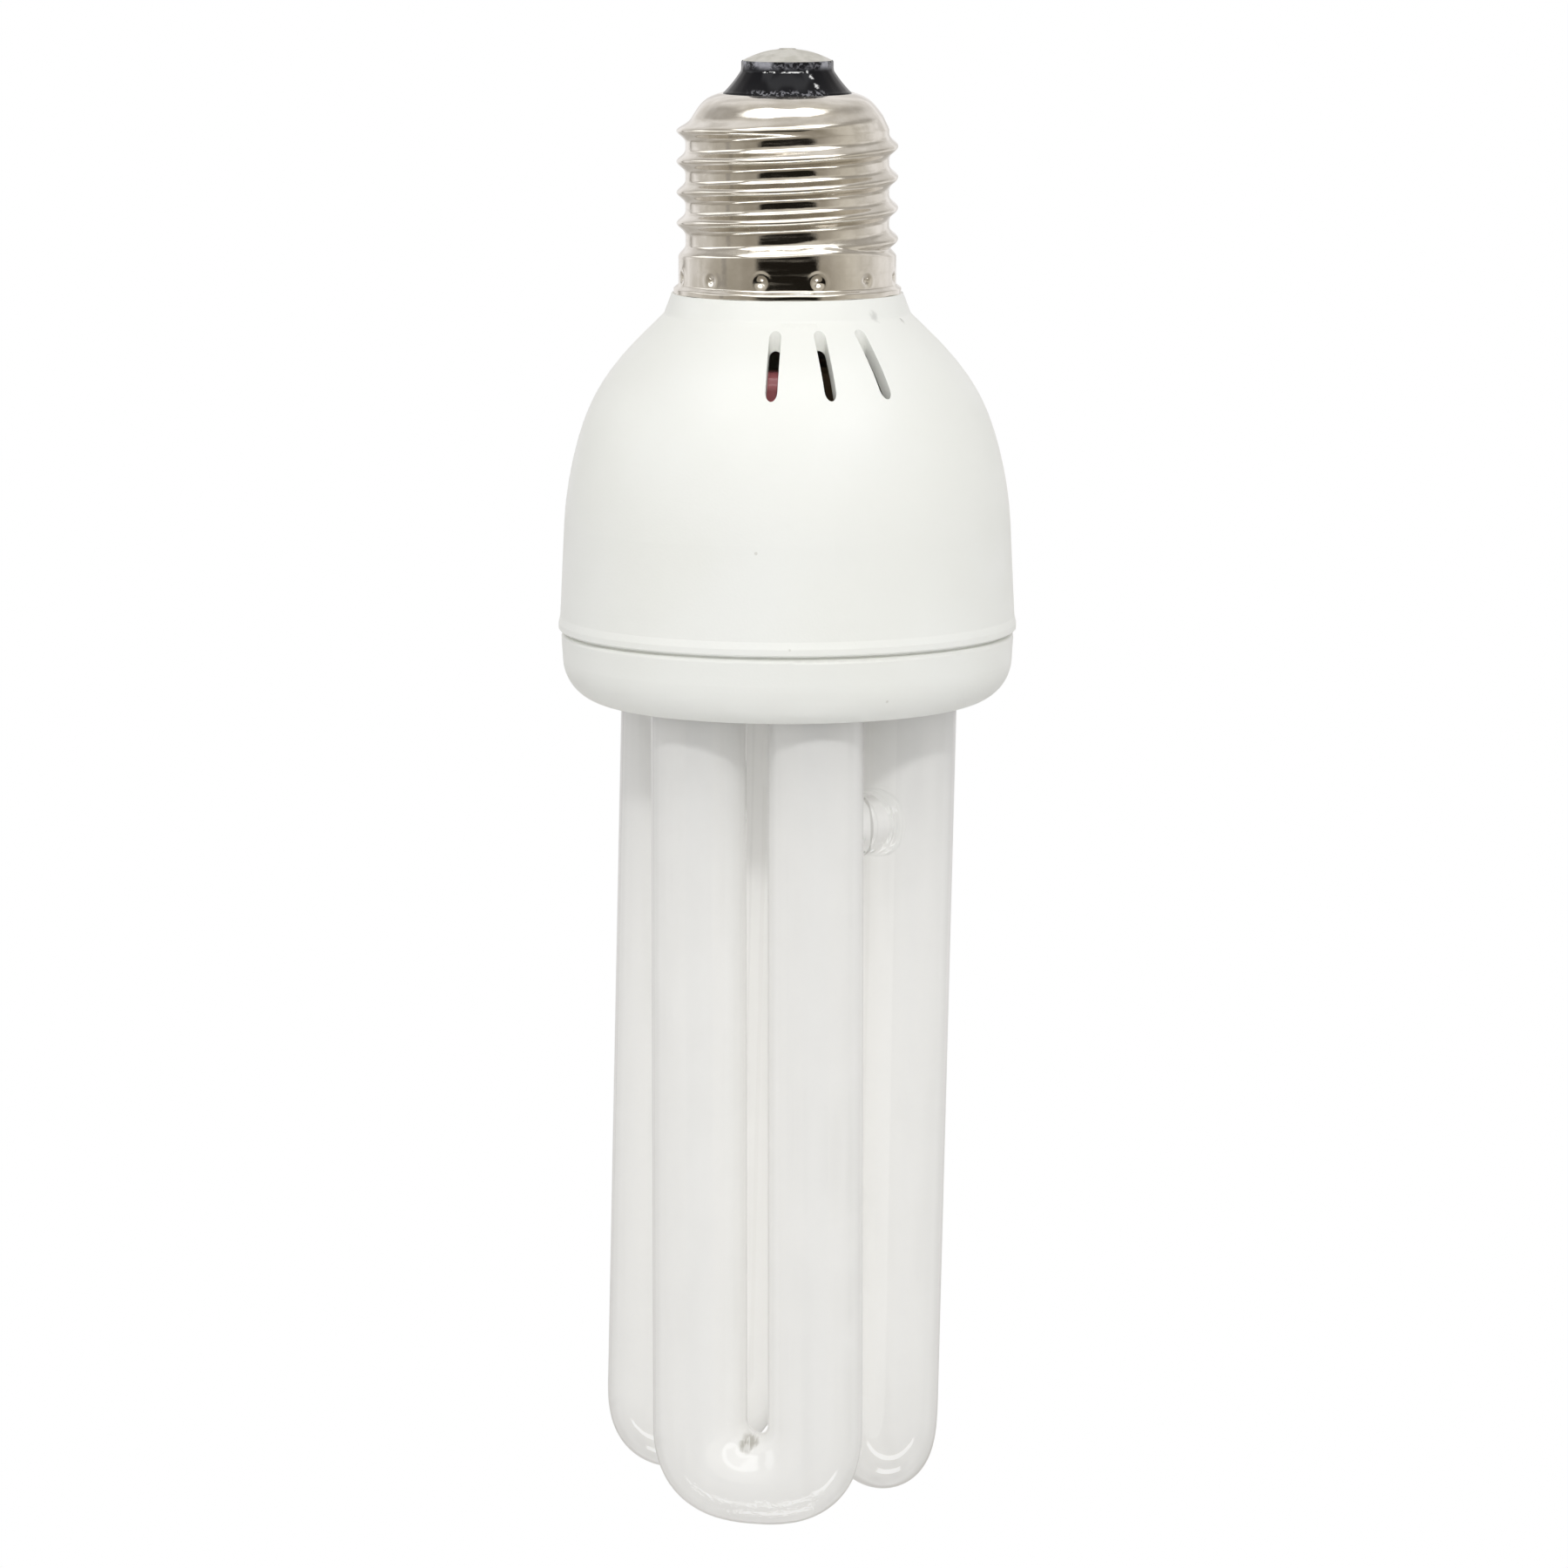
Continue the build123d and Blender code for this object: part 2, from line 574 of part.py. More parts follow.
# Two transistors, each on three legs
for number, (at_x, at_y) in enumerate((FIRST_TRANSISTOR_AT, SECOND_TRANSISTOR_AT), start=1):
    with BuildPart() as transistor:
        with Locations((at_x, at_y, BOARD_TOP + TRANSISTOR_STANDOFF)):
            Box(TRANSISTOR_WIDTH, TRANSISTOR_THICK, TRANSISTOR_HEIGHT,
                align=(Align.CENTER, Align.CENTER, Align.MIN))
        leg_places = [(at_x + leg * TRANSISTOR_LEG_STEP, at_y, BOARD_TOP) for leg in (-1, 0, 1)]
        with Locations(leg_places):
            Box(2 * LEAD_R, LEAD_R, TRANSISTOR_STANDOFF, align=(Align.CENTER, Align.CENTER, Align.MIN))
    save(transistor, f"transistor_{number}")


def axial_row(label, count, pitch, radius, length, at):
    """Row of axial parts: round bodies on leads bent down to the board."""
    with BuildPart() as row:
        for place in range(count):
            at_y = at[1] + (place - (count - 1) / 2) * pitch
            axis_z = BOARD_TOP + AXIAL_RISE
            with BuildSketch(Plane.YZ.offset(at[0] - length / 2)):
                with Locations((at_y, axis_z)):
                    Circle(radius)
            extrude(amount=length)
            with Locations((at[0], at_y, axis_z)):
                Box(AXIAL_SPAN, 2 * LEAD_R, 2 * LEAD_R)
            feet = [(at[0] + side * (AXIAL_SPAN / 2 - LEAD_R), at_y, BOARD_TOP) for side in (-1, 1)]
            with Locations(feet):
                Box(2 * LEAD_R, 2 * LEAD_R, AXIAL_RISE, align=(Align.CENTER, Align.CENTER, Align.MIN))
    save(row, label)


axial_row("rectifier_diodes", DIODES, DIODE_PITCH, DIODE_R, DIODE_LENGTH, DIODES_AT)
axial_row("resistors", RESISTORS, RESISTOR_PITCH, RESISTOR_R, RESISTOR_LENGTH, RESISTORS_AT)

# Input choke: a drum core between two rims
with BuildPart() as input_choke:
    with BuildSketch(Plane.XZ):
        with BuildLine():
            Polyline(
                (0, 0),
                (DRUM_R, 0),
                (DRUM_R, DRUM_RIM),
                (DRUM_WAIST, DRUM_RIM),
                (DRUM_WAIST, DRUM_HEIGHT - DRUM_RIM),
                (DRUM_R, DRUM_HEIGHT - DRUM_RIM),
                (DRUM_R, DRUM_HEIGHT),
                (0, DRUM_HEIGHT),
                close=True,
            )
        make_face()
    revolve(axis=Axis.Z)
input_choke.part.locate(Location((*DRUM_AT, BOARD_TOP)))
save(input_choke, "input_choke")

# Tube leads, sealed into the electrode ends, and the wrap pins beside them under the board
with BuildPart() as tube_leads:
    for foot in tube_lead_feet:
        with Locations(foot):
            Cylinder(TUBE_LEAD_R, BOARD_Z - foot.Z, align=(Align.CENTER, Align.CENTER, Align.MIN))
save(tube_leads, "tube_leads")

with BuildPart() as wrap_pins:
    for foot in tube_lead_feet:
        with Locations((foot.X, foot.Y + PIN_STEP, BOARD_Z)):
            Box(PIN_SIDE, PIN_SIDE, PIN_HEIGHT, align=(Align.CENTER, Align.CENTER, Align.MAX))
save(wrap_pins, "wrap_pins")

# Lead from the board to the centre contact
with BuildPart() as contact_lead:
    with BuildLine():
        route = FilletPolyline(
            (*CONTACT_LEAD_AT, BOARD_TOP),
            (*CONTACT_LEAD_AT, RIM_Z - CONTACT_LEAD_DROP),
            (0, 0, RIM_Z + SPIGOT_HEIGHT),
            (0, 0, cone_top + CONTACT_RISE / 2),
            radius=WIRE_BEND,
        )
    with BuildSketch(Plane(origin=route @ 0, z_dir=(0, 0, 1))):
        Circle(WIRE_R)
    sweep()
save(contact_lead, "contact_lead")

# Lead from the board through the fusible resistor to the inside of the shell
fuse_z = BOARD_TOP + FUSE_RISE
fuse_top = fuse_z + FUSE_HEIGHT
shell_side = ROOT_R - SHEET - WIRE_R - SEAL_PLAY
neck_side = neck_bore - 3 * WIRE_R
with BuildPart() as shell_lead:
    with BuildLine():
        route = FilletPolyline(
            (*SHELL_LEAD_AT, BOARD_TOP),
            (*SHELL_LEAD_AT, fuse_top + WIRE_BEND),
            (0, neck_side, spigot_top),
            (0, shell_side, spigot_top + 2 * WIRE_BEND),
            (0, shell_side, spigot_top + 4 * WIRE_BEND),
            radius=WIRE_BEND,
        )
    with BuildSketch(Plane(origin=route @ 0, z_dir=(0, 0, 1))):
        Circle(WIRE_R)
    sweep()
save(shell_lead, "shell_lead")

with BuildPart() as fuse_resistor:
    with BuildSketch(Plane.XY.offset(fuse_z)):
        with Locations(SHELL_LEAD_AT):
            Circle(FUSE_R)
            Circle(WIRE_R + SEAL_PLAY, mode=Mode.SUBTRACT)
    extrude(amount=FUSE_HEIGHT)
save(fuse_resistor, "fuse_resistor")
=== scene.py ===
"""Looks of a compact reptile lamp: coated glass tubes, white mouldings and a nickel screw cap.

Sizes of the lamp are in millimetres and become metres where a mesh or a material is made. The studio is
in metres and watts. The lamp axis is Z, the cap is on top and the front is -Y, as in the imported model.
"""

import json
import logging
import math
from dataclasses import dataclass, field
from enum import Enum
from typing import Sequence

import bmesh
import bpy
import numpy as np
from mathutils import Matrix, Vector


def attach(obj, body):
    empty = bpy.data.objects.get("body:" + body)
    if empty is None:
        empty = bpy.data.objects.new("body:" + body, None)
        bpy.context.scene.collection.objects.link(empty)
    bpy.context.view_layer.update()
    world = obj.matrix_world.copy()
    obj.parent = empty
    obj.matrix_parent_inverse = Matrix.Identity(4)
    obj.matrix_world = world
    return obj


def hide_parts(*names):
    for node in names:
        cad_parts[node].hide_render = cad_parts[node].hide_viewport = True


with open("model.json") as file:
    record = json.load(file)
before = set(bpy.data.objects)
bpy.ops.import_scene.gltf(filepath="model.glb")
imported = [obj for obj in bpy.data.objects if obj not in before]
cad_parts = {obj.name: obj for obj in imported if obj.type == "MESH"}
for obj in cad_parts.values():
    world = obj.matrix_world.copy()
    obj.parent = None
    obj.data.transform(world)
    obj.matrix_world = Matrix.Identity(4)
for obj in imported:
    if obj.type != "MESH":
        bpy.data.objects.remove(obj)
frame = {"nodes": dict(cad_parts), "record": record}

logging.basicConfig(level=logging.INFO, format="%(message)s")
log = logging.getLogger("lamp")

MM = 0.001
ROOT_BODY = "root"
WHITE = (1.0, 1.0, 1.0)

Colour = tuple[float, float, float]
Point = tuple[float, float, float]
Limits = tuple[float, float]
Spot = tuple[Point, float]
Box = tuple[float, float, float, float]
Socket = bpy.types.NodeSocket


class Slot(Enum):
    """Material slots of the record that the pieces take their finish from."""

    NICKEL = "nickel"
    BLACK_GLASS = "black_glass"
    CONTACT = "contact_metal"
    SOLDER = "solder"
    MOULDING = "white_plastic"
    TUBE = "coated_glass"
    SILICONE = "silicone"
    BOARD = "board"
    SLEEVE = "brown_sleeve"
    RED = "red_epoxy"
    GREEN = "green_epoxy"
    FERRITE = "ferrite"
    FORMER = "former"
    COPPER = "copper"
    BLACK = "black_epoxy"
    RESISTOR = "resistor_body"
    WIRE = "tinned_wire"
    COVER = "wire_cover"


def metres(sizes: Sequence[float]) -> tuple[float, ...]:
    """The sizes in metres."""
    return tuple(size * MM for size in sizes)


def smooth_step(value: np.ndarray, low: float, high: float) -> np.ndarray:
    """Ramp from 0 at low to 1 at high, level at both ends.

    Args:
        value: What the ramp reads.
        low: Where it leaves 0.
        high: Where it reaches 1.

    Returns:
        The ramp's height for each value.
    """
    share = np.clip((value - low) / (high - low), 0.0, 1.0)
    return share * share * (3.0 - 2.0 * share)


class NodeSheet:
    """Adds and joins the nodes of one tree."""

    def __init__(self, tree: bpy.types.NodeTree) -> None:
        """Starts from an empty tree."""
        self.tree = tree
        self.tree.nodes.clear()

    def add(self, kind: str, inputs: dict[str, object] | None = None,
            **settings: object) -> bpy.types.Node:
        """Makes a node.

        Args:
            kind: The node's type.
            inputs: Values or sockets for its inputs, by name.
            settings: Its own settings, by name.

        Returns:
            The new node.
        """
        node = self.tree.nodes.new(kind)
        for name, value in settings.items():
            setattr(node, name, value)
        for name, value in (inputs or {}).items():
            self.feed(node.inputs[name], value)
        return node

    def feed(self, target: Socket, value: object) -> None:
        """Joins a socket to an input, or sets the input to a value.

        Args:
            target: The input.
            value: A socket, a number, or a vector or a colour of three numbers.
        """
        if isinstance(value, bpy.types.NodeSocket):
            self.tree.links.new(value, target)
        elif target.type == "RGBA":
            target.default_value = (*value, 1.0)
        else:
            target.default_value = value

    def feed_row(self, targets: Sequence[Socket], values: Sequence[object]) -> None:
        """Feeds inputs that have no names of their own, in order."""
        for target, value in zip(targets, values):
            self.feed(target, value)

    def maths(self, operation: str, first: object, second: object = 0.0, clamp: bool = False) -> Socket:
        """Result of one sum on two values or sockets.

        Args:
            operation: Which sum.
            first: First value or socket.
            second: Second value or socket.
            clamp: Whether the result is kept between 0 and 1.

        Returns:
            The result's socket.
        """
        node = self.add("ShaderNodeMath", operation=operation, use_clamp=clamp)
        self.feed_row(node.inputs, (first, second))
        return node.outputs[0]

    def vectors(self, operation: str, first: object, second: object) -> bpy.types.Node:
        """Node of one sum on two vectors.

        Args:
            operation: Which sum.
            first: First vector or socket.
            second: Second vector or socket.

        Returns:
            The new node.
        """
        node = self.add("ShaderNodeVectorMath", operation=operation)
        self.feed_row(node.inputs, (first, second))
        return node

    def times(self, *factors: object) -> Socket:
        """Product of values or sockets.

        Args:
            factors: What is multiplied, in order.

        Returns:
            The product's socket.
        """
        product = factors[0]
        for factor in factors[1:]:
            product = self.maths("MULTIPLY", product, factor)
        return product

    def off(self, value: object, middle: float) -> Socket:
        """How far a value lies from a middle, to either side."""
        return self.maths("ABSOLUTE", self.maths("SUBTRACT", value, middle))

    def ramp(self, value: object, low: object, high: object,
             to_low: float = 0.0, to_high: float = 1.0) -> Socket:
        """Smooth clamped ramp of a value.

        Args:
            value: Value or socket that the ramp reads.
            low: Value at its start.
            high: Value at its end.
            to_low: Result at its start.
            to_high: Result at its end.

        Returns:
            The result's socket.
        """
        limits = {"Value": value, "From Min": low, "From Max": high, "To Min": to_low, "To Max": to_high}
        node = self.add("ShaderNodeMapRange", limits, interpolation_type="SMOOTHSTEP")
        return node.outputs["Result"]

    def blend(self, share: object, first: object, second: object, label: str = "") -> Socket:
        """Colour between two colours or sockets.

        Args:
            share: Share of the second colour.
            first: First colour.
            second: Second colour.
            label: What the node is called in the tree.

        Returns:
            The blended colour.
        """
        node = self.add("ShaderNodeMix", data_type="RGBA", label=label)
        colours = [socket for socket in node.inputs if socket.type == "RGBA"]
        self.feed_row((node.inputs[0], *colours), (share, first, second))
        return next(socket for socket in node.outputs if socket.type == "RGBA")

    def mix(self, share: object, first: Socket, second: Socket) -> Socket:
        """Shader between two shaders.

        Args:
            share: Share of the second shader.
            first: First shader.
            second: Second shader.

        Returns:
            The mixed shader.
        """
        node = self.add("ShaderNodeMixShader")
        self.feed_row(node.inputs, (share, first, second))
        return node.outputs["Shader"]

    def axes(self, place: str) -> tuple[Socket, ...]:
        """The X, Y and Z of a texture place, by the place's name."""
        where = self.add("ShaderNodeTexCoord").outputs[place]
        return tuple(self.add("ShaderNodeSeparateXYZ", {"Vector": where}).outputs)

    def group(self, tree: bpy.types.NodeTree, **inputs: object) -> Socket:
        """Result of a shared effect, with values or sockets for its inputs."""
        return self.add("ShaderNodeGroup", inputs, node_tree=tree).outputs[0]


class Effects:
    """Shader node groups for the finishes, each built once."""

    def __init__(self) -> None:
        """Builds the groups."""
        self.mottle = self._mottle()
        self.specks = self._specks()
        self.streaks = self._streaks()
        self.mark = self._mark()

    @staticmethod
    def _start(name: str, inputs: dict[str, float | Point], output: str) -> tuple[
            NodeSheet, bpy.types.NodeOutputs, Socket, Socket]:
        """Empty group with number or vector inputs and one number as its output.

        Args:
            name: The group's name.
            inputs: Defaults of its inputs, by name.
            output: Name of its output.

        Returns:
            The sheet, the given inputs, the place on the object and the output to feed.
        """
        tree = bpy.data.node_groups.new(name, "ShaderNodeTree")
        for label, default in inputs.items():
            kind = "NodeSocketFloat" if isinstance(default, float) else "NodeSocketVector"
            socket = tree.interface.new_socket(label, in_out="INPUT", socket_type=kind)
            socket.default_value = default
        tree.interface.new_socket(output, in_out="OUTPUT", socket_type="NodeSocketFloat")
        sheet = NodeSheet(tree)
        given = sheet.add("NodeGroupInput").outputs
        place = sheet.add("ShaderNodeTexCoord").outputs["Object"]
        return sheet, given, place, sheet.add("NodeGroupOutput").inputs[output]

    def _mottle(self) -> bpy.types.NodeTree:
        """Soft uneven tone: a noise between two limits.

        Returns:
            The group.
        """
        sheet, given, place, result = self._start(
            "soft_mottle", {"Scale": 60.0, "Detail": 3.0, "Low": 0.35, "High": 0.65}, "Value")
        noise = sheet.add("ShaderNodeTexNoise", {
            "Vector": place, "Scale": given["Scale"], "Detail": given["Detail"]})
        sheet.feed(result, sheet.ramp(noise.outputs["Fac"], given["Low"], given["High"]))
        return sheet.tree

    def _specks(self) -> bpy.types.NodeTree:
        """Small scattered dots, in a share of the cells.

        Returns:
            The group.
        """
        sheet, given, place, result = self._start(
            "dust_specks", {"Scale": 300.0, "Size": 0.1, "Share": 0.1}, "Mask")
        cells = sheet.add("ShaderNodeTexVoronoi", {
            "Vector": place, "Scale": given["Scale"], "Randomness": 1.0})
        near = sheet.maths("LESS_THAN", cells.outputs["Distance"], given["Size"])
        lot = sheet.add("ShaderNodeSeparateColor", {"Color": cells.outputs["Color"]})
        picked = sheet.maths("LESS_THAN", lot.outputs[0], given["Share"])
        sheet.feed(result, sheet.times(near, picked))
        return sheet.tree

    def _streaks(self) -> bpy.types.NodeTree:
        """Noise drawn out by a vector scale, for draw lines and rubs.

        Returns:
            The group.
        """
        sheet, given, place, result = self._start(
            "drawn_streaks", {"Stretch": (200.0, 200.0, 20.0), "Low": 0.4, "High": 0.6}, "Value")
        drawn = sheet.vectors("MULTIPLY", place, given["Stretch"]).outputs["Vector"]
        noise = sheet.add("ShaderNodeTexNoise", {"Vector": drawn, "Scale": 1.0, "Detail": 4.0})
        sheet.feed(result, sheet.ramp(noise.outputs["Fac"], given["Low"], given["High"]))
        return sheet.tree

    def _mark(self) -> bpy.types.NodeTree:
        """One rubbed mark: a ragged patch round a point.

        Returns:
            The group.
        """
        sheet, given, place, result = self._start(
            "rubbed_mark", {"Middle": (0.0, 0.0, 0.0), "Reach": 0.001, "Ragged": 1500.0}, "Mask")
        away = sheet.vectors("DISTANCE", place, given["Middle"]).outputs["Value"]
        noise = sheet.add("ShaderNodeTexNoise", {
            "Vector": place, "Scale": given["Ragged"], "Detail": 3.0})
        reach = sheet.times(given["Reach"], noise.outputs["Fac"], 2.0)
        sheet.feed(result, sheet.ramp(sheet.maths("DIVIDE", away, reach), 1.0, 0.2))
        return sheet.tree


class MaterialSheet(NodeSheet):
    """Nodes of one material, with its shader and its output."""

    def __init__(self, name: str, constants: dict[str, object] | None = None) -> None:
        """Starts the material.

        Args:
            name: The material's name.
            constants: Values set directly on the shader's inputs.
        """
        self.material = bpy.data.materials.new(name)
        self.material.use_nodes = True
        super().__init__(self.material.node_tree)
        self.shader = self.add("ShaderNodeBsdfPrincipled", constants)
        self.surface = self.shader.outputs["BSDF"]

    def take(self, name: str, value: object) -> None:
        """Feeds one of the shader's inputs."""
        self.feed(self.shader.inputs[name], value)

    def roughen(self, mask: Socket, least: float, most: float) -> None:
        """Roughness that a mask raises from its least to its most."""
        self.take("Roughness", self.ramp(mask, 0.0, 1.0, least, most))

    def emboss(self, height: Socket, depth: float) -> None:
        """Bump of a height mask, with its depth in millimetres."""
        bump = self.add("ShaderNodeBump", {"Height": height, "Strength": 1.0, "Distance": depth * MM})
        self.take("Normal", bump.outputs["Normal"])

    def grain(self, effects: Effects, scale: float, depth: float) -> None:
        """Even bump of the shared mottle, with its depth in millimetres."""
        self.emboss(self.group(effects.mottle, Scale=scale, Low=0.2, High=0.8), depth)

    def close(self) -> bpy.types.Material:
        """Joins the surface to the output and gives the finished material."""
        self.add("ShaderNodeOutputMaterial", {"Surface": self.surface})
        return self.material


@dataclass(frozen=True)
class Finish:
    """Surface of a plain piece: a base tone that drifts towards a second one.

    Attributes:
        slot: Material slot that it belongs to.
        base: Main colour.
        drift: Second colour of the mottling.
        roughness: Least roughness.
        rough_spread: How much the mottling adds to it.
        metallic: Whether the surface is metal.
        mottle_scale: Noise cells per metre of the mottling.
        grain_scale: Noise cells per metre of the bump.
        grain_depth: Depth of the bump.
        detail: Octaves of the mottling.
    """

    slot: Slot
    base: Colour
    drift: Colour
    roughness: float = 0.4
    rough_spread: float = 0.1
    metallic: float = 0.0
    mottle_scale: float = 120.0
    grain_scale: float = 2200.0
    grain_depth: float = 0.01
    detail: float = 3.0

    def material(self, effects: Effects) -> bpy.types.Material:
        """Builds the material.

        Args:
            effects: The shared groups.

        Returns:
            The new material.
        """
        sheet = MaterialSheet(self.slot.value, {"Metallic": self.metallic})
        mottle = sheet.group(effects.mottle, Scale=self.mottle_scale, Detail=self.detail)
        sheet.take("Base Color", sheet.blend(mottle, self.base, self.drift))
        sheet.roughen(mottle, self.roughness, self.roughness + self.rough_spread)
        sheet.grain(effects, self.grain_scale, self.grain_depth)
        return sheet.close()


PLAIN_FINISHES: tuple[Finish, ...] = (
    Finish(Slot.CONTACT, (0.7, 0.69, 0.64), (0.58, 0.57, 0.52), 0.42, 0.18, 0.85, 500.0,
           grain_scale=2600.0, grain_depth=0.03, detail=5.0),
    Finish(Slot.SOLDER, (0.62, 0.61, 0.56), (0.5, 0.49, 0.44), 0.35, 0.15, 1.0, 900.0, 3000.0, 0.02),
    Finish(Slot.SILICONE, (0.78, 0.78, 0.74), (0.7, 0.7, 0.66), 0.55, 0.15),
    Finish(Slot.BOARD, (0.3, 0.2, 0.08), (0.24, 0.15, 0.06), 0.5, 0.15, grain_scale=900.0),
    Finish(Slot.SLEEVE, (0.42, 0.33, 0.2), (0.34, 0.26, 0.15), 0.3, 0.15),
    Finish(Slot.RED, (0.6, 0.2, 0.21), (0.5, 0.15, 0.16), 0.15, grain_scale=500.0, grain_depth=0.05),
    Finish(Slot.GREEN, (0.04, 0.16, 0.07), (0.03, 0.12, 0.05), 0.15, grain_scale=500.0, grain_depth=0.05),
    Finish(Slot.FERRITE, (0.035, 0.035, 0.038), (0.06, 0.06, 0.062), 0.55, 0.2),
    Finish(Slot.FORMER, (0.7, 0.68, 0.6), (0.62, 0.6, 0.52), 0.45),
    Finish(Slot.COPPER, (0.6, 0.26, 0.1), (0.45, 0.17, 0.06), 0.25, 0.15, 1.0),
    Finish(Slot.BLACK, (0.02, 0.02, 0.02), (0.035, 0.035, 0.034), 0.45, 0.15),
    Finish(Slot.RESISTOR, (0.55, 0.42, 0.25), (0.48, 0.36, 0.2), 0.3, 0.15),
    Finish(Slot.WIRE, (0.62, 0.62, 0.6), (0.5, 0.5, 0.48), 0.3, 0.15, 1.0),
    Finish(Slot.COVER, (0.8, 0.8, 0.78), (0.72, 0.72, 0.7), 0.3, 0.15),
)


@dataclass(frozen=True)
class MouldingFinish:
    """Satin white moulding with fine grain, faint flow tones, a little dust and one scuff."""

    slot: Slot = Slot.MOULDING
    base: Colour = (0.885, 0.89, 0.852)
    drift: Colour = (0.868, 0.872, 0.826)
    flow_scale: float = 45.0
    dust: Colour = (0.68, 0.67, 0.62)
    dust_scale: float = 260.0
    dust_size: float = 0.05
    dust_share: float = 0.08
    dust_weight: float = 0.7
    scuff: Colour = (0.55, 0.55, 0.52)
    scuff_middle: Point = (10.2, -10.4, 144.4)
    scuff_reach: float = 0.9
    scuff_weight: float = 0.6
    roughness: Limits = (0.36, 0.46)
    patch_scale: float = 180.0
    grain_scale: float = 3200.0
    grain_depth: float = 0.006

    def material(self, effects: Effects) -> bpy.types.Material:
        """Builds the material.

        Args:
            effects: The shared groups.

        Returns:
            The new material.
        """
        sheet = MaterialSheet(self.slot.value)
        flow = sheet.group(effects.mottle, Scale=self.flow_scale, Detail=2.0)
        colour = sheet.blend(flow, self.base, self.drift)
        dust = sheet.group(
            effects.specks, Scale=self.dust_scale, Size=self.dust_size, Share=self.dust_share)
        colour = sheet.blend(sheet.times(dust, self.dust_weight), colour, self.dust)
        middle = metres(self.scuff_middle)
        scuff = sheet.group(effects.mark, Middle=middle, Reach=self.scuff_reach * MM)
        colour = sheet.blend(sheet.times(scuff, self.scuff_weight), colour, self.scuff)
        sheet.take("Base Color", colour)
        patches = sheet.group(effects.mottle, Scale=self.patch_scale, Detail=4.0)
        sheet.roughen(patches, *self.roughness)
        sheet.grain(effects, self.grain_scale, self.grain_depth)
        return sheet.close()


@dataclass(frozen=True)
class PhosphorFinish:
    """White powder inside the tubes, with faint run lines and a bare fold at each saddle."""

    base: Colour = (0.9, 0.893, 0.878)
    thin: Colour = (0.855, 0.848, 0.832)
    fold: Colour = (0.36, 0.34, 0.29)
    through: float = 0.28  # share of the light that goes through
    run_stretch: Point = (320.0, 320.0, 14.0)
    cloud_scale: float = 70.0
    crease_stretch: Point = (1900.0, 300.0, 260.0)
    crease_share: Limits = (0.22, 0.75)  # of the fold's colour, between the creases and in them
    fold_ragged: float = 500.0
    folds: tuple[Spot, ...] = (  # middle and reach of each bare patch
        ((-4.3, -13.2, 10.0), 1.9), ((-4.75, -14.3, 9.5), 1.6), ((-4.75, -15.1, 9.0), 0.8),
        ((13.6, 5.6, 9.5), 2.3), ((-11.2, 12.4, 9.5), 2.3))
    roughness: float = 0.95
    gloss: float = 0.1

    def material(self, effects: Effects) -> bpy.types.Material:
        """Builds the material.

        Args:
            effects: The shared groups.

        Returns:
            The new material.
        """
        sheet = MaterialSheet("phosphor", {"Roughness": self.roughness, "Specular IOR Level": self.gloss})
        runs = sheet.group(effects.streaks, Stretch=self.run_stretch, Low=0.35, High=0.75)
        clouds = sheet.group(effects.mottle, Scale=self.cloud_scale)
        colour = sheet.blend(sheet.times(runs, clouds), self.base, self.thin)
        creases = sheet.group(effects.streaks, Stretch=self.crease_stretch, Low=0.42, High=0.58)
        depth = sheet.ramp(creases, 0.0, 1.0, *self.crease_share)
        for middle, reach in self.folds:
            bare = sheet.group(
                effects.mark, Middle=metres(middle), Reach=reach * MM, Ragged=self.fold_ragged)
            colour = sheet.blend(sheet.times(bare, depth), colour, self.fold)
        sheet.take("Base Color", colour)
        glow = sheet.add("ShaderNodeBsdfTranslucent", {"Color": colour})
        sheet.surface = sheet.mix(self.through, sheet.surface, glow.outputs["BSDF"])
        return sheet.close()


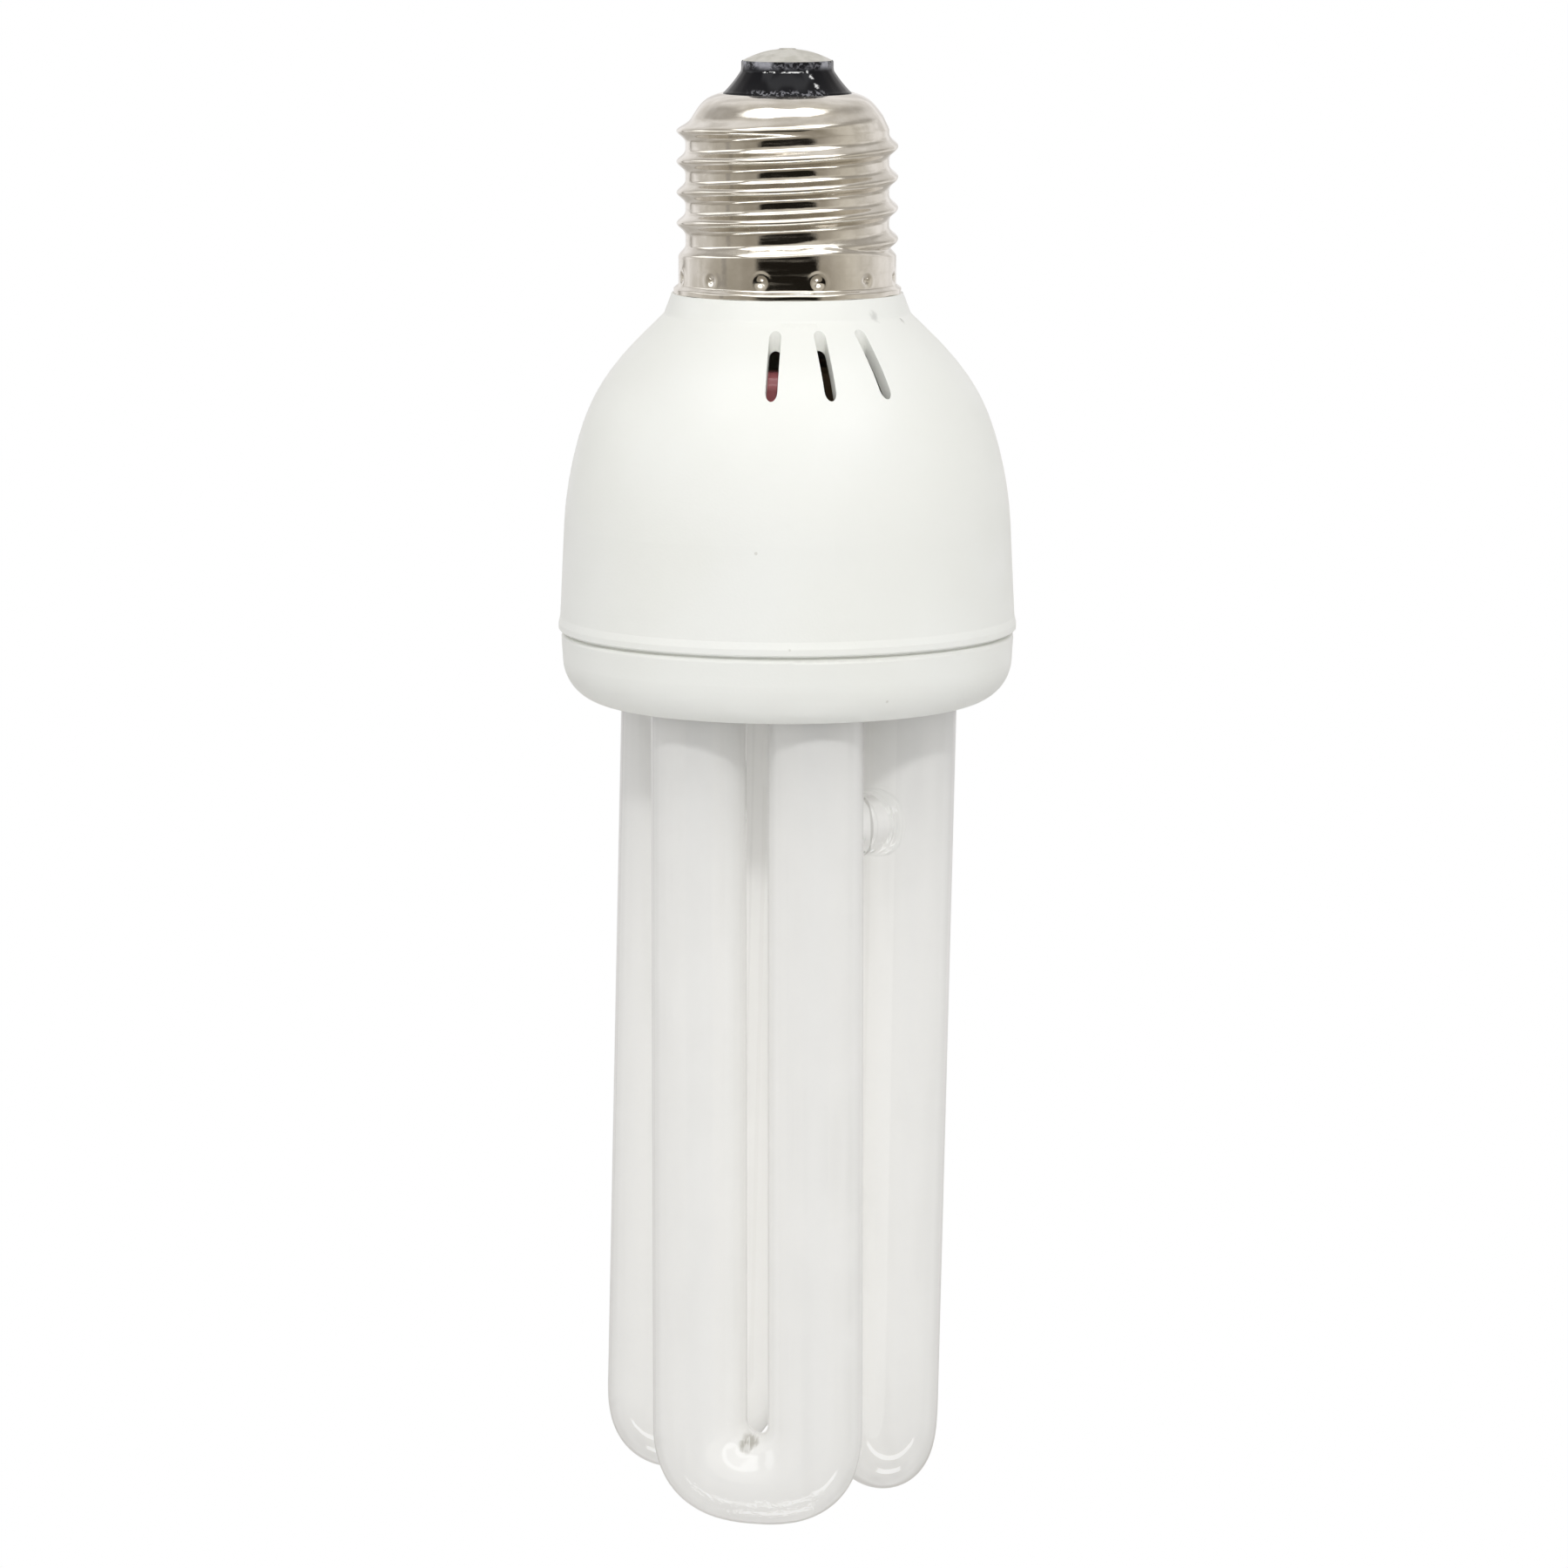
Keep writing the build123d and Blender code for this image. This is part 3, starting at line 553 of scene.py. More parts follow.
@dataclass(frozen=True)
class ClearGlassFinish:
    """Drawn clear glass with slight waves, with painted shade greying it at its edge, where the eye looks
    through more of it.

    A pair of limits says where something starts and where it is full.
    """

    slot: Slot = Slot.TUBE
    tint: Colour = (0.985, 0.992, 0.988)
    edge: Colour = (0.3, 0.29, 0.27)  # colour of the painted shade at the edges, for the thicker glass there
    index: float = 1.5
    shade_margin: Limits = (0.41, 0.56)  # painted faint grey shade at the margin, by how the face is turned to the eye
    shade_margin_share: float = 0.07
    rim: Limits = (0.66, 0.88)  # painted darker shade at the rim, likewise
    rim_shade_share: float = 0.36
    fused_leg: Point = (3.31, -14.5, 84.2)  # on the jointed leg's axis, level with its bridge
    fused_r: float = 6.75  # from that axis to the joint's line
    fused_width: Limits = (0.3, 0.12)  # from the line
    fused_reach: Limits = (5.0, 4.5)  # above and below the bridge
    fused_share: float = 0.7
    wave_stretch: Point = (180.0, 180.0, 25.0)
    wave_depth: float = 0.02
    bend_height: Limits = (6.5, 4.5)  # height of the front bend's crinkles
    bend_front: Limits = (-6.0, -9.0)  # their Y
    crinkle_scale: float = 1700.0

    def fused_line(self, sheet: NodeSheet, axes: Sequence[Socket]) -> Socket:
        """Mask of the line where the bridge is fused to the leg.

        Args:
            sheet: The material's nodes.
            axes: X, Y and Z on the object.

        Returns:
            The mask.
        """
        aside, ahead, above = (sheet.maths("SUBTRACT", axis, middle)
                               for axis, middle in zip(axes, metres(self.fused_leg)))
        squares = sheet.maths("ADD", sheet.times(aside, aside), sheet.times(ahead, ahead))
        off_line = sheet.off(sheet.maths("SQRT", squares), self.fused_r * MM)
        level = sheet.ramp(sheet.maths("ABSOLUTE", above), *metres(self.fused_reach))
        return sheet.times(sheet.ramp(off_line, *metres(self.fused_width)), level)

    def material(self, effects: Effects) -> bpy.types.Material:
        """Builds the material.

        Args:
            effects: The shared groups.

        Returns:
            The new material.
        """
        sheet = MaterialSheet(self.slot.value, {
            "Roughness": 0.0, "IOR": self.index, "Transmission Weight": 1.0})
        # Painted shade: the tint greys towards the tube edges by how the face turns from the eye; the
        # fused joint adds its own grey line.
        facing = sheet.add("ShaderNodeLayerWeight", {"Blend": 0.5}).outputs["Facing"]
        shade_margin = sheet.ramp(facing, *self.shade_margin, 0.0, self.shade_margin_share)
        rim = sheet.ramp(facing, *self.rim, 0.0, self.rim_shade_share)
        axes = sheet.axes("Object")
        fused = sheet.times(self.fused_line(sheet, axes), self.fused_share)
        # painted edge shade, joined with the fused joint's own grey line
        thick = sheet.maths("MAXIMUM", sheet.maths("ADD", shade_margin, rim), fused)
        sheet.take("Base Color", sheet.blend(thick, self.tint, self.edge))
        waves = sheet.group(effects.streaks, Stretch=self.wave_stretch, Low=0.2, High=0.8)
        bend = sheet.times(sheet.ramp(axes[2], *metres(self.bend_height)),
                           sheet.ramp(axes[1], *metres(self.bend_front)))
        grains = sheet.group(effects.mottle, Scale=self.crinkle_scale, Detail=2.0)
        sheet.emboss(sheet.maths("ADD", waves, sheet.times(bend, grains)), self.wave_depth)
        return sheet.close()


@dataclass(frozen=True)
class NickelFinish:
    """Bright drawn nickel plate, slightly warm, with fine rubs."""

    slot: Slot = Slot.NICKEL
    base: Colour = (0.755, 0.722, 0.665)
    drift: Colour = (0.655, 0.62, 0.555)
    tone_scale: float = 260.0
    roughness: Limits = (0.07, 0.21)
    rub_stretch: Point = (140.0, 140.0, 1800.0)
    wave_scale: float = 420.0
    wave_depth: float = 0.012

    def material(self, effects: Effects) -> bpy.types.Material:
        """Builds the material.

        Args:
            effects: The shared groups.

        Returns:
            The new material.
        """
        sheet = MaterialSheet(self.slot.value, {"Metallic": 1.0})
        tone = sheet.group(effects.mottle, Scale=self.tone_scale, Detail=4.0)
        sheet.take("Base Color", sheet.blend(tone, self.base, self.drift))
        rubs = sheet.group(effects.streaks, Stretch=self.rub_stretch, Low=0.45, High=0.75)
        sheet.roughen(rubs, *self.roughness)
        sheet.grain(effects, self.wave_scale, self.wave_depth)
        return sheet.close()


@dataclass(frozen=True)
class BlackGlassFinish:
    """Opaque black glass with pale flakes round its top, crumbs at its foot and a run of white chips.

    A pair of limits says where something starts and where it is full.
    """

    slot: Slot = Slot.BLACK_GLASS
    base: Colour = (0.008, 0.008, 0.01)
    flake: Colour = (0.34, 0.34, 0.37)
    chip: Colour = (0.85, 0.85, 0.84)
    index: float = 1.52
    gloss: float = 0.1  # what a dusty face keeps of its mirror
    flake_z: Limits = (172.5, 173.3)
    flake_scale: float = 520.0
    crumb_z: Limits = (170.55, 170.1)
    crumb_x: Limits = (5.0, 3.6)  # to either side
    crumb_scale: float = 2600.0
    crumb_share: float = 0.35  # of the crumbs in the flakes
    foot_share: float = 0.6  # of the flake colour at the foot
    line_z: float = 172.45  # height of a broken white line
    line_width: Limits = (0.11, 0.05)
    line_x: float = -0.5
    line_reach: Limits = (2.5, 2.1)
    chips: tuple[Spot, ...] = (  # middle and reach of each
        ((2.35, -5.05, 172.5), 0.25), ((2.75, -5.2, 172.1), 0.32), ((2.95, -5.25, 171.85), 0.25),
        ((3.3, -5.65, 171.25), 0.3), ((3.45, -5.8, 171.0), 0.4), ((3.6, -5.9, 170.75), 0.3))
    chip_ragged: float = 2500.0
    roughness: Limits = (0.1, 0.45)  # of clean glass and of flakes
    flake_depth: float = 0.04

    def material(self, effects: Effects) -> bpy.types.Material:
        """Builds the material.

        Args:
            effects: The shared groups.

        Returns:
            The new material.
        """
        sheet = MaterialSheet(self.slot.value, {"IOR": self.index, "Specular IOR Level": self.gloss})
        across, _, height = sheet.axes("Object")
        broad = sheet.group(effects.mottle, Scale=self.flake_scale, Detail=6.0, Low=0.42, High=0.62)
        crumbs = sheet.group(effects.mottle, Scale=self.crumb_scale, Low=0.5, High=0.6)
        torn = sheet.maths("ADD", sheet.times(crumbs, self.crumb_share), broad)
        flakes = sheet.maths("MULTIPLY", sheet.ramp(height, *metres(self.flake_z)), torn, clamp=True)
        near_middle = sheet.ramp(sheet.off(across, 0.0), *metres(self.crumb_x))
        near_foot = sheet.ramp(height, *metres(self.crumb_z))
        foot = sheet.times(near_foot, crumbs, near_middle, self.foot_share)
        pale = sheet.maths("MAXIMUM", flakes, foot)
        colour = sheet.blend(pale, self.base, self.flake)
        on_line = sheet.ramp(sheet.off(height, self.line_z * MM), *metres(self.line_width))
        along = sheet.ramp(sheet.off(across, self.line_x * MM), *metres(self.line_reach))
        white = sheet.times(on_line, crumbs, along)
        for middle, reach in self.chips:
            mark = sheet.group(
                effects.mark, Middle=metres(middle), Reach=reach * MM, Ragged=self.chip_ragged)
            white = sheet.maths("MAXIMUM", white, mark)
        sheet.take("Base Color", sheet.blend(white, colour, self.chip))
        sheet.roughen(pale, *self.roughness)
        sheet.emboss(pale, self.flake_depth)
        return sheet.close()


class Paints:
    """Every material of the lamp, by slot, and the powder coating."""

    def __init__(self) -> None:
        """Builds the shared groups and then the materials."""
        effects = Effects()
        finishes = (*PLAIN_FINISHES, MouldingFinish(), ClearGlassFinish(), NickelFinish(),
                    BlackGlassFinish())
        self.by_slot = {finish.slot: finish.material(effects) for finish in finishes}
        self.phosphor = PhosphorFinish().material(effects)


def make_piece(name: str, points: np.ndarray, faces: Sequence[Sequence[int]],
               material: bpy.types.Material) -> bpy.types.Object:
    """Smooth mesh piece that rides on the lamp.

    Args:
        name: The piece's name.
        points: Its points in millimetres, one row each.
        faces: Its faces as lists of point numbers.
        material: Its finish.

    Returns:
        The new object.
    """
    mesh = bpy.data.meshes.new(name)
    mesh.from_pydata((np.asarray(points) * MM).tolist(), [], [list(face) for face in faces])
    sorter = bmesh.new()
    sorter.from_mesh(mesh)
    bmesh.ops.recalc_face_normals(sorter, faces=sorter.faces)
    sorter.to_mesh(mesh)
    sorter.free()
    mesh.materials.append(material)
    mesh.polygons.foreach_set("use_smooth", [True] * len(mesh.polygons))
    mesh.update()
    piece = bpy.data.objects.new(name, mesh)
    bpy.context.scene.collection.objects.link(piece)
    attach(piece, ROOT_BODY)
    log.info("%s: %d faces", name, len(mesh.polygons))
    return piece


def rings_to_faces(rings: int, around: int, closed: bool = False) -> list[list[int]]:
    """Quads between rings of points that follow one another.

    Args:
        rings: How many rings.
        around: Points in each ring.
        closed: Whether the last ring joins the first.

    Returns:
        The quads.
    """
    faces = []
    for ring in range(rings if closed else rings - 1):
        here = ring * around
        there = (ring + 1) % rings * around
        for place in range(around):
            after = (place + 1) % around
            faces.append([here + place, here + after, there + after, there + place])
    return faces


@dataclass
class TubeCluster:
    """Three coated U tubes fused by two clear bridges.

    A U is drawn about the Z axis with its legs to either side in X, and is then put in its place.
    """

    paints: Paints
    leg_d: float = 11.3
    leg_gap: float = 3.0
    u_radius: float = 13.1
    first_turn: float = -15.8  # degrees from the front to the first U
    leans: tuple[Limits, ...] = ((0.0, 0.2), (-1.25, 2.5), (-1.35, 2.5))  # degrees about each U's own axes
    lean_z: float = 97.8  # height that they lean about
    saddle_z: float = 10.9  # inner side of the bends
    shorter: tuple[float, ...] = (0.0, 0.0, 0.8)  # how much higher each bend ends
    squareness: float = 2.45  # power of the bend's outline, 2 for an ellipse
    top_z: float = 108.8  # closed tops of the legs
    top_round: float = 3.5
    top_rings: int = 8
    wall: float = 0.75  # depth of the coating
    saddle_wall: float = 0.9  # the same at the bend's inner side
    bridge_d: float = 7.2
    bridge_z: float = 84.2
    bridge_wall: float = 1.9  # depth of the coating in a bridge
    bridge_sink: float = 1.2  # how far a bridge goes into the legs
    bridge_flare: float = 0.5
    bead: float = 0.3  # height of the bead beside the flare
    bead_at: float = 0.8  # distance from the leg
    bead_width: float = 0.3
    around: int = 72
    bend_rings: int = 64
    leg_rings: int = 24
    bridge_rings: int = 40
    made: list[bpy.types.Object] = field(default_factory=list)

    @property
    def leg_pitch(self) -> float:
        """Distance between the axes of one U's legs."""
        return self.leg_d + self.leg_gap

    @property
    def pivot_z(self) -> float:
        """Height of the point that a bend is fanned about."""
        return self.saddle_z + self.leg_gap / 2

    @property
    def turns(self) -> np.ndarray:
        """Angles of the points round a tube."""
        return np.linspace(0, 2 * math.pi, self.around, endpoint=False)

    def place(self, index: int) -> Matrix:
        """Where a U drawn about the Z axis goes.

        Args:
            index: Which U.

        Returns:
            The transform in millimetres.
        """
        turn = math.radians(self.first_turn + index * 360 / len(self.leans))
        lean_x, lean_y = (math.radians(value) for value in self.leans[index])
        foot = Vector((self.u_radius * math.sin(turn), -self.u_radius * math.cos(turn), self.lean_z))
        lean = Matrix.Rotation(lean_y, 4, "X") @ Matrix.Rotation(-lean_x, 4, "Y")
        stand = Matrix.Translation((0, 0, -self.lean_z)) @ Matrix.Rotation(turn, 4, "Z")
        return Matrix.Translation(foot) @ lean @ stand

    def leg_point(self, index: int, side: int, height: float) -> Vector:
        """Point on the axis of one leg, side -1 or 1."""
        return self.place(index) @ Vector((side * self.leg_pitch / 2, 0, height))

    def leg_ring(self, side: int, height: float, radius: float) -> np.ndarray:
        """Ring of points round the axis of one leg."""
        across = side * (self.leg_pitch / 2 + radius * np.cos(self.turns))
        return np.stack([across, radius * np.sin(self.turns), np.full(self.around, height)], axis=1)

    def leg(self, side: int, depth: float) -> list[np.ndarray]:
        """Rings of one leg.

        Args:
            side: Which leg, -1 or 1.
            depth: How far the skin lies inside the outer face.

        Returns:
            The rings from above the bend to the rounded top.
        """
        radius = self.leg_d / 2 - depth
        round_z = self.top_z - self.top_round
        heights = np.linspace(self.pivot_z, round_z, self.leg_rings)[1:]
        rings = [self.leg_ring(side, height, radius) for height in heights]
        for angle in np.linspace(0, math.pi / 2, self.top_rings)[1:]:
            inward = self.top_round * (1 - math.cos(angle))
            upward = (self.top_round - depth) * math.sin(angle)
            rings.append(self.leg_ring(side, round_z + upward, radius - inward))
        return rings

    def bend(self, index: int, depth: float, saddle_depth: float) -> list[np.ndarray]:
        """Rings of one bend, fanned about the top of its saddle.

        Args:
            index: Which U.
            depth: How far the skin lies inside the outer face.
            saddle_depth: The same on the inner side of the bend.

        Returns:
            The rings from the right leg to the left one.
        """
        half_gap = self.leg_gap / 2
        rings = []
        for fan in np.linspace(0, math.pi, self.bend_rings + 1):
            across = abs(math.cos(fan)) / (half_gap + self.leg_d)
            down = math.sin(fan) / (self.pivot_z - self.shorter[index])
            reach = (across ** self.squareness + down ** self.squareness) ** (-1 / self.squareness)
            inner = half_gap + depth + (saddle_depth - depth) * math.sin(fan) ** 2
            outer = reach - depth
            out = (outer + inner) / 2 + (outer - inner) / 2 * np.cos(self.turns)
            thick = (self.leg_d / 2 - depth) * np.sin(self.turns)
            height = self.pivot_z - out * math.sin(fan)
            rings.append(np.stack([out * math.cos(fan), thick, height], axis=1))
        return rings

    def skin(self, index: int, depth: float, saddle_depth: float) -> tuple[np.ndarray, list[list[int]]]:
        """Closed skin of one U, drawn about the Z axis.

        Args:
            index: Which U.
            depth: How far the skin lies inside the outer face.
            saddle_depth: The same on the inner side of the bend.

        Returns:
            Points and faces.
        """
        bend = self.bend(index, depth, saddle_depth)
        rings = [*reversed(self.leg(1, depth)), *bend, *self.leg(-1, depth)]
        points = np.concatenate(rings)
        faces = rings_to_faces(len(rings), self.around)
        last = len(points) - self.around
        faces.append(list(range(self.around - 1, -1, -1)))
        faces.append(list(range(last, last + self.around)))
        return points, faces

    def keep(self, name: str, points: np.ndarray, faces: list[list[int]], coating: bool) -> None:
        """Makes one piece of glass or coating, which lets the light of the lamps through.

        Args:
            name: The piece's name.
            points: Its points.
            faces: Its faces.
            coating: Whether it is coating, which gives light on to the pieces round it.
        """
        material = self.paints.phosphor if coating else self.paints.by_slot[Slot.TUBE]
        piece = make_piece(name, points, faces, material)
        piece.visible_shadow = False
        piece.visible_diffuse = coating
        self.made.append(piece)

    def build_tubes(self) -> None:
        """Makes the glass and the coating of each U."""
        skins = (("glass", 0.0, 0.0, False), ("coating", self.wall, self.saddle_wall, True))
        for label, depth, saddle_depth, coating in skins:
            for index in range(len(self.leans)):
                points, faces = self.skin(index, depth, saddle_depth)
                placed = np.array([self.place(index) @ Vector(point) for point in points])
                self.keep(f"tube_{label}_{index + 1}", placed, faces, coating)

    def build_bridges(self) -> None:
        """Makes the bridges, flared where they meet the legs, and the coating inside them."""
        faces = rings_to_faces(self.bridge_rings, self.around)
        first_stop = self.leg_d / 2 - self.bridge_sink
        for index in range(len(self.leans) - 1):
            start = self.leg_point(index, 1, self.bridge_z)
            span = self.leg_point(index + 1, -1, self.bridge_z) - start
            along = Matrix.Translation(start) @ span.to_track_quat("Z", "Y").to_matrix().to_4x4()
            stops = np.linspace(first_stop, span.length - first_stop, self.bridge_rings)
            near = np.minimum(stops, span.length - stops) - self.leg_d / 2
            flare = self.bridge_flare * np.clip(1 - near / self.bridge_flare, 0.0, 1.0) ** 2
            bead = self.bead * np.exp(-((near - self.bead_at) / self.bead_width) ** 2)
            lining = np.full(self.bridge_rings, self.bridge_d / 2 - self.bridge_wall)
            outlines = (("bridge", self.bridge_d / 2 + flare + bead, False), ("lining", lining, True))
            for label, radii, coating in outlines:
                points = [along @ Vector((radius * math.cos(turn), radius * math.sin(turn), stop))
                          for stop, radius in zip(stops, radii) for turn in self.turns]
                self.keep(f"tube_{label}_{index + 1}", np.array(points), faces, coating)

    def build(self) -> None:
        """Makes the whole cluster in place of the solid vessel."""
        self.build_tubes()
        self.build_bridges()
        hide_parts("discharge_vessel")


@dataclass
class ScrewCap:
    """Nickel shell with a rolled thread, crimps and a flared rim, and its glass insulator."""

    paints: Paints
    sheet: float = 0.4
    crest_r: float = 13.1
    root_r: float = 12.05
    skirt_r: float = 12.9
    rim_r: float = 13.48
    pitch: float = 3.63
    thread_turn: float = 142.0  # degrees from +X to the thread's lower end
    flank: float = 1.78  # half a ridge's width at its root
    run_in: Limits = (1.2, 2.1)  # above the skirt, where the ridge starts and is full
    run_out: Limits = (0.1, 2.1)  # above the thread, where it falls and ends
    waver: float = 0.02  # unevenness of the ridge, as a share of its height
    waver_waves: int = 5
    waver_rate: float = 2.1  # radians per millimetre upwards
    rim_z: float = 146.3
    rim_edge: float = 0.5  # height of its straight edge
    rim_height: float = 1.15  # where its flare ends
    rim_wave: float = 0.05  # height of the waves in the rim
    rim_waves: int = 12
    rim_wave_turn: float = 40.0
    rim_wave_z: float = 0.2  # height above the rim that moves with them in full
    skirt_top: float = 150.5
    bevel: float = 1.45
    bevel_start: float = 0.05
    climb: float = 1.05  # most that the bevel climbs with the thread
    climb_start: float = 0.44  # rise of the thread that it doesn't follow
    climb_fade: Limits = (150.0, 215.0)  # degrees past the thread's lower end
    thread_top: float = 165.5
    shell_end: float = 169.8
    shell_end_r: float = 8.0
    shoulder_fall: float = 2.6  # drawn in before the last turn
    shoulder_power: float = 1.15
    turn_power: int = 8  # of the last turn
    crimps: int = 12
    crimp_turn: float = 16.0  # degrees from the front to the first
    crimp_z: float = 148.35
    crimp_r: float = 0.42
    crimp_depth: float = 0.28
    lip: float = 0.04  # height of the lip round a dent
    lip_r: float = 1.0
    lip_width: float = 0.3
    around: int = 420
    rows: tuple[int, int, int] = (50, 118, 25)  # rings of the skirt, the thread and the shoulder
    row_power: float = 1.5  # how the shoulder's rings crowd to its end
    insulator_r: float = 7.6
    insulator_around: int = 240
    cone_top: float = 173.4
    cone_r: float = 5.45
    cone_rings: int = 12
    cone_hollow: float = 0.12
    collar: float = 0.9  # height of the insulator's upper edge
    lead_r: float = 0.6  # its bore
    foot: float = 2.6  # its length in the shell
    foot_spread: float = 1.6
    uneven: float = 0.25  # depth of its uneven edge
    uneven_waves: tuple[int, ...] = (3, 5, 8, 13, 19, 27)
    seed: int = 11

    def skirt_radius(self, turn: np.ndarray, height: np.ndarray) -> np.ndarray:
        """Radius of the skirt and of the bevel above it, which climbs with the first turn of the thread.

        Args:
            turn: Angles from +X in degrees.
            height: Heights on the shell.

        Returns:
            The radius at each place.
        """
        flare = 1.0 - smooth_step(height, self.rim_z + self.rim_edge, self.rim_z + self.rim_height)
        skirt = self.skirt_r + (self.rim_r - self.skirt_r) * flare
        past = (turn - self.thread_turn) % 360
        climb = np.clip(self.pitch * past / 360 - self.climb_start, 0.0, self.climb)
        climb = climb * (1.0 - smooth_step(past, *self.climb_fade))
        fall = smooth_step(height - self.skirt_top - climb, self.bevel_start, self.bevel)
        return skirt + (self.root_r - self.skirt_r) * fall

    def core_radius(self, height: np.ndarray) -> np.ndarray:
        """Radius of the thread's roots and of the shoulder above it.

        Args:
            height: Heights on the shell.

        Returns:
            The radius at each place.
        """
        share = np.clip((height - self.thread_top) / (self.shell_end - self.thread_top), 0.0, 1.0)
        last = self.root_r - self.shell_end_r - self.shoulder_fall
        fall = self.shoulder_fall * share ** self.shoulder_power
        return self.root_r - fall - last * share ** self.turn_power

    def ridge(self, turn: np.ndarray, height: np.ndarray) -> np.ndarray:
        """Height of the rolled ridge above the shell.

        Args:
            turn: Angles from +X in degrees.
            height: Heights on the shell.

        Returns:
            The ridge at each place, which runs out at both ends of the thread.
        """
        first = self.skirt_top + self.pitch * (turn - self.thread_turn) / 360
        crest = first + np.round((height - first) / self.pitch) * self.pitch
        away = np.abs(height - crest)
        rise = np.where(away < self.flank, (0.5 * (1 + np.cos(math.pi * away / self.flank))) ** 2, 0.0)
        run_in = smooth_step(crest - self.skirt_top, *self.run_in)
        run_out = 1.0 - smooth_step(crest - self.thread_top, *self.run_out)
        waves = np.sin(np.radians(turn * self.waver_waves)) * np.sin(height * self.waver_rate)
        return (self.crest_r - self.root_r) * rise * run_in * run_out * (1.0 + self.waver * waves)

    def crimp_relief(self, turn: np.ndarray, height: np.ndarray) -> np.ndarray:
        """What the dents and their lips add to the skirt's radius.

        Args:
            turn: Angles from +X in degrees.
            height: Heights on the shell.

        Returns:
            The change of radius at each place.
        """
        relief = np.zeros_like(height)
        for crimp in range(self.crimps):
            middle = self.crimp_turn + crimp * 360 / self.crimps - 90
            sideways = np.radians((turn - middle + 180) % 360 - 180) * self.skirt_r
            away = np.hypot(sideways, height - self.crimp_z)
            relief -= self.crimp_depth * np.exp(-(away / self.crimp_r) ** 2)
            relief += self.lip * np.exp(-((away - self.lip_r) / self.lip_width) ** 2)
        return relief

    def build_shell(self) -> None:
        """Makes the shell with its thread, crimps and rim."""
        turns = np.linspace(0, 360, self.around, endpoint=False)
        skirt_rows, thread_rows, shoulder_rows = self.rows
        share = np.linspace(0, 1, shoulder_rows + 1)[1:]
        turn, height = np.meshgrid(turns, np.concatenate([
            np.linspace(self.rim_z, self.skirt_top, skirt_rows, endpoint=False),
            np.linspace(self.skirt_top, self.thread_top, thread_rows),
            self.thread_top + (self.shell_end - self.thread_top) * (1 - (1 - share) ** self.row_power)]))
        threaded = self.core_radius(height) + self.ridge(turn, height)
        below = height < self.skirt_top + self.bevel + self.climb
        plain = np.where(below, self.skirt_radius(turn, height), 0.0)
        radius = np.maximum(threaded, plain) + self.crimp_relief(turn, height)
        low = 1.0 - smooth_step(height, self.rim_z + self.rim_wave_z, self.rim_z + self.rim_height)
        waves = np.sin(np.radians(turn * self.rim_waves + self.rim_wave_turn))
        inside = (
            (self.shell_end_r - self.sheet, self.shell_end),
            (self.shell_end_r - self.sheet, self.shell_end - self.sheet),
            (self.root_r - 2 * self.sheet, self.thread_top),
            (self.root_r - 2 * self.sheet, self.skirt_top + self.sheet),
            (self.skirt_r - self.sheet, self.skirt_top),
            (self.skirt_r - self.sheet, self.rim_z),
        )
        outline = [*zip(radius, height + self.rim_wave * low * waves), *inside]
        rings = [self.ring(turns, ring_r, ring_z) for ring_r, ring_z in outline]
        faces = rings_to_faces(len(rings), self.around, closed=True)
        nickel = self.paints.by_slot[Slot.NICKEL]
        shell = make_piece("screw_shell", np.concatenate(rings), faces, nickel)
        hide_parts("cap_shell")

    def build_insulator(self) -> None:
        """Makes the glass insulator with an uneven upper edge.

        Each point of its outline has a radius, a height and its share of the unevenness.
        """
        chance = np.random.default_rng(self.seed)
        turns = np.linspace(0, 360, self.insulator_around, endpoint=False)
        uneven = sum(chance.normal(0, 1) * np.sin(np.radians(turns * wave + chance.uniform(0, 360)))
                     for wave in self.uneven_waves) / len(self.uneven_waves)
        collar_z = self.cone_top - self.collar
        outline = [
            (self.lead_r, self.shell_end - self.foot, 0.0),
            (self.insulator_r + self.foot_spread, self.shell_end - self.foot, 0.0),
            (self.insulator_r - 0.2, self.shell_end - self.sheet, 0.0),
            (self.insulator_r, self.shell_end - 0.1, 0.0),
            (self.insulator_r - 0.05, self.shell_end + 0.12, 0.1),
        ]
        for share in np.linspace(0.08, 0.92, self.cone_rings):
            straight_r = self.insulator_r + (self.cone_r - self.insulator_r) * share
            cone_z = self.shell_end + (collar_z - self.shell_end) * share
            outline.append((straight_r - self.cone_hollow * math.sin(math.pi * share), cone_z, 0.12))
        outline += [
            (self.cone_r + 0.04, collar_z - 0.05, 0.12),
            (self.cone_r, collar_z + 0.15, 0.15),
            (self.cone_r - 0.02, collar_z + 0.4, 0.2),
            (self.cone_r - 0.03, self.cone_top + 0.1, 0.3),
            (self.cone_r - 0.1, self.cone_top + 0.24, 0.3),
            (self.cone_r - 0.16, self.cone_top + 0.05, 0.1),
            (self.cone_r - 0.3, self.cone_top, 0.0),
            (self.lead_r, self.cone_top, 0.0),
        ]
        rings = [self.ring(turns, ring_r + self.uneven * rough * uneven, ring_z)
                 for ring_r, ring_z, rough in outline]
        faces = rings_to_faces(len(rings), self.insulator_around, closed=True)
        black = self.paints.by_slot[Slot.BLACK_GLASS]
        glass = make_piece("cap_glass", np.concatenate(rings), faces, black)
        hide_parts("cap_insulator")

    @staticmethod
    def ring(turns: np.ndarray, radius: np.ndarray | float, height: np.ndarray | float) -> np.ndarray:
        """Ring of points about the lamp axis.

        Args:
            turns: Angles from +X in degrees.
            radius: Radius, one for all or one for each point.
            height: Height, likewise.

        Returns:
            The points.
        """
        angle = np.radians(turns)
        level = height * np.ones_like(angle)
        return np.stack([radius * np.cos(angle), radius * np.sin(angle), level], axis=1)

    def build(self) -> None:
        """Makes the cap."""
        self.build_shell()
        self.build_insulator()


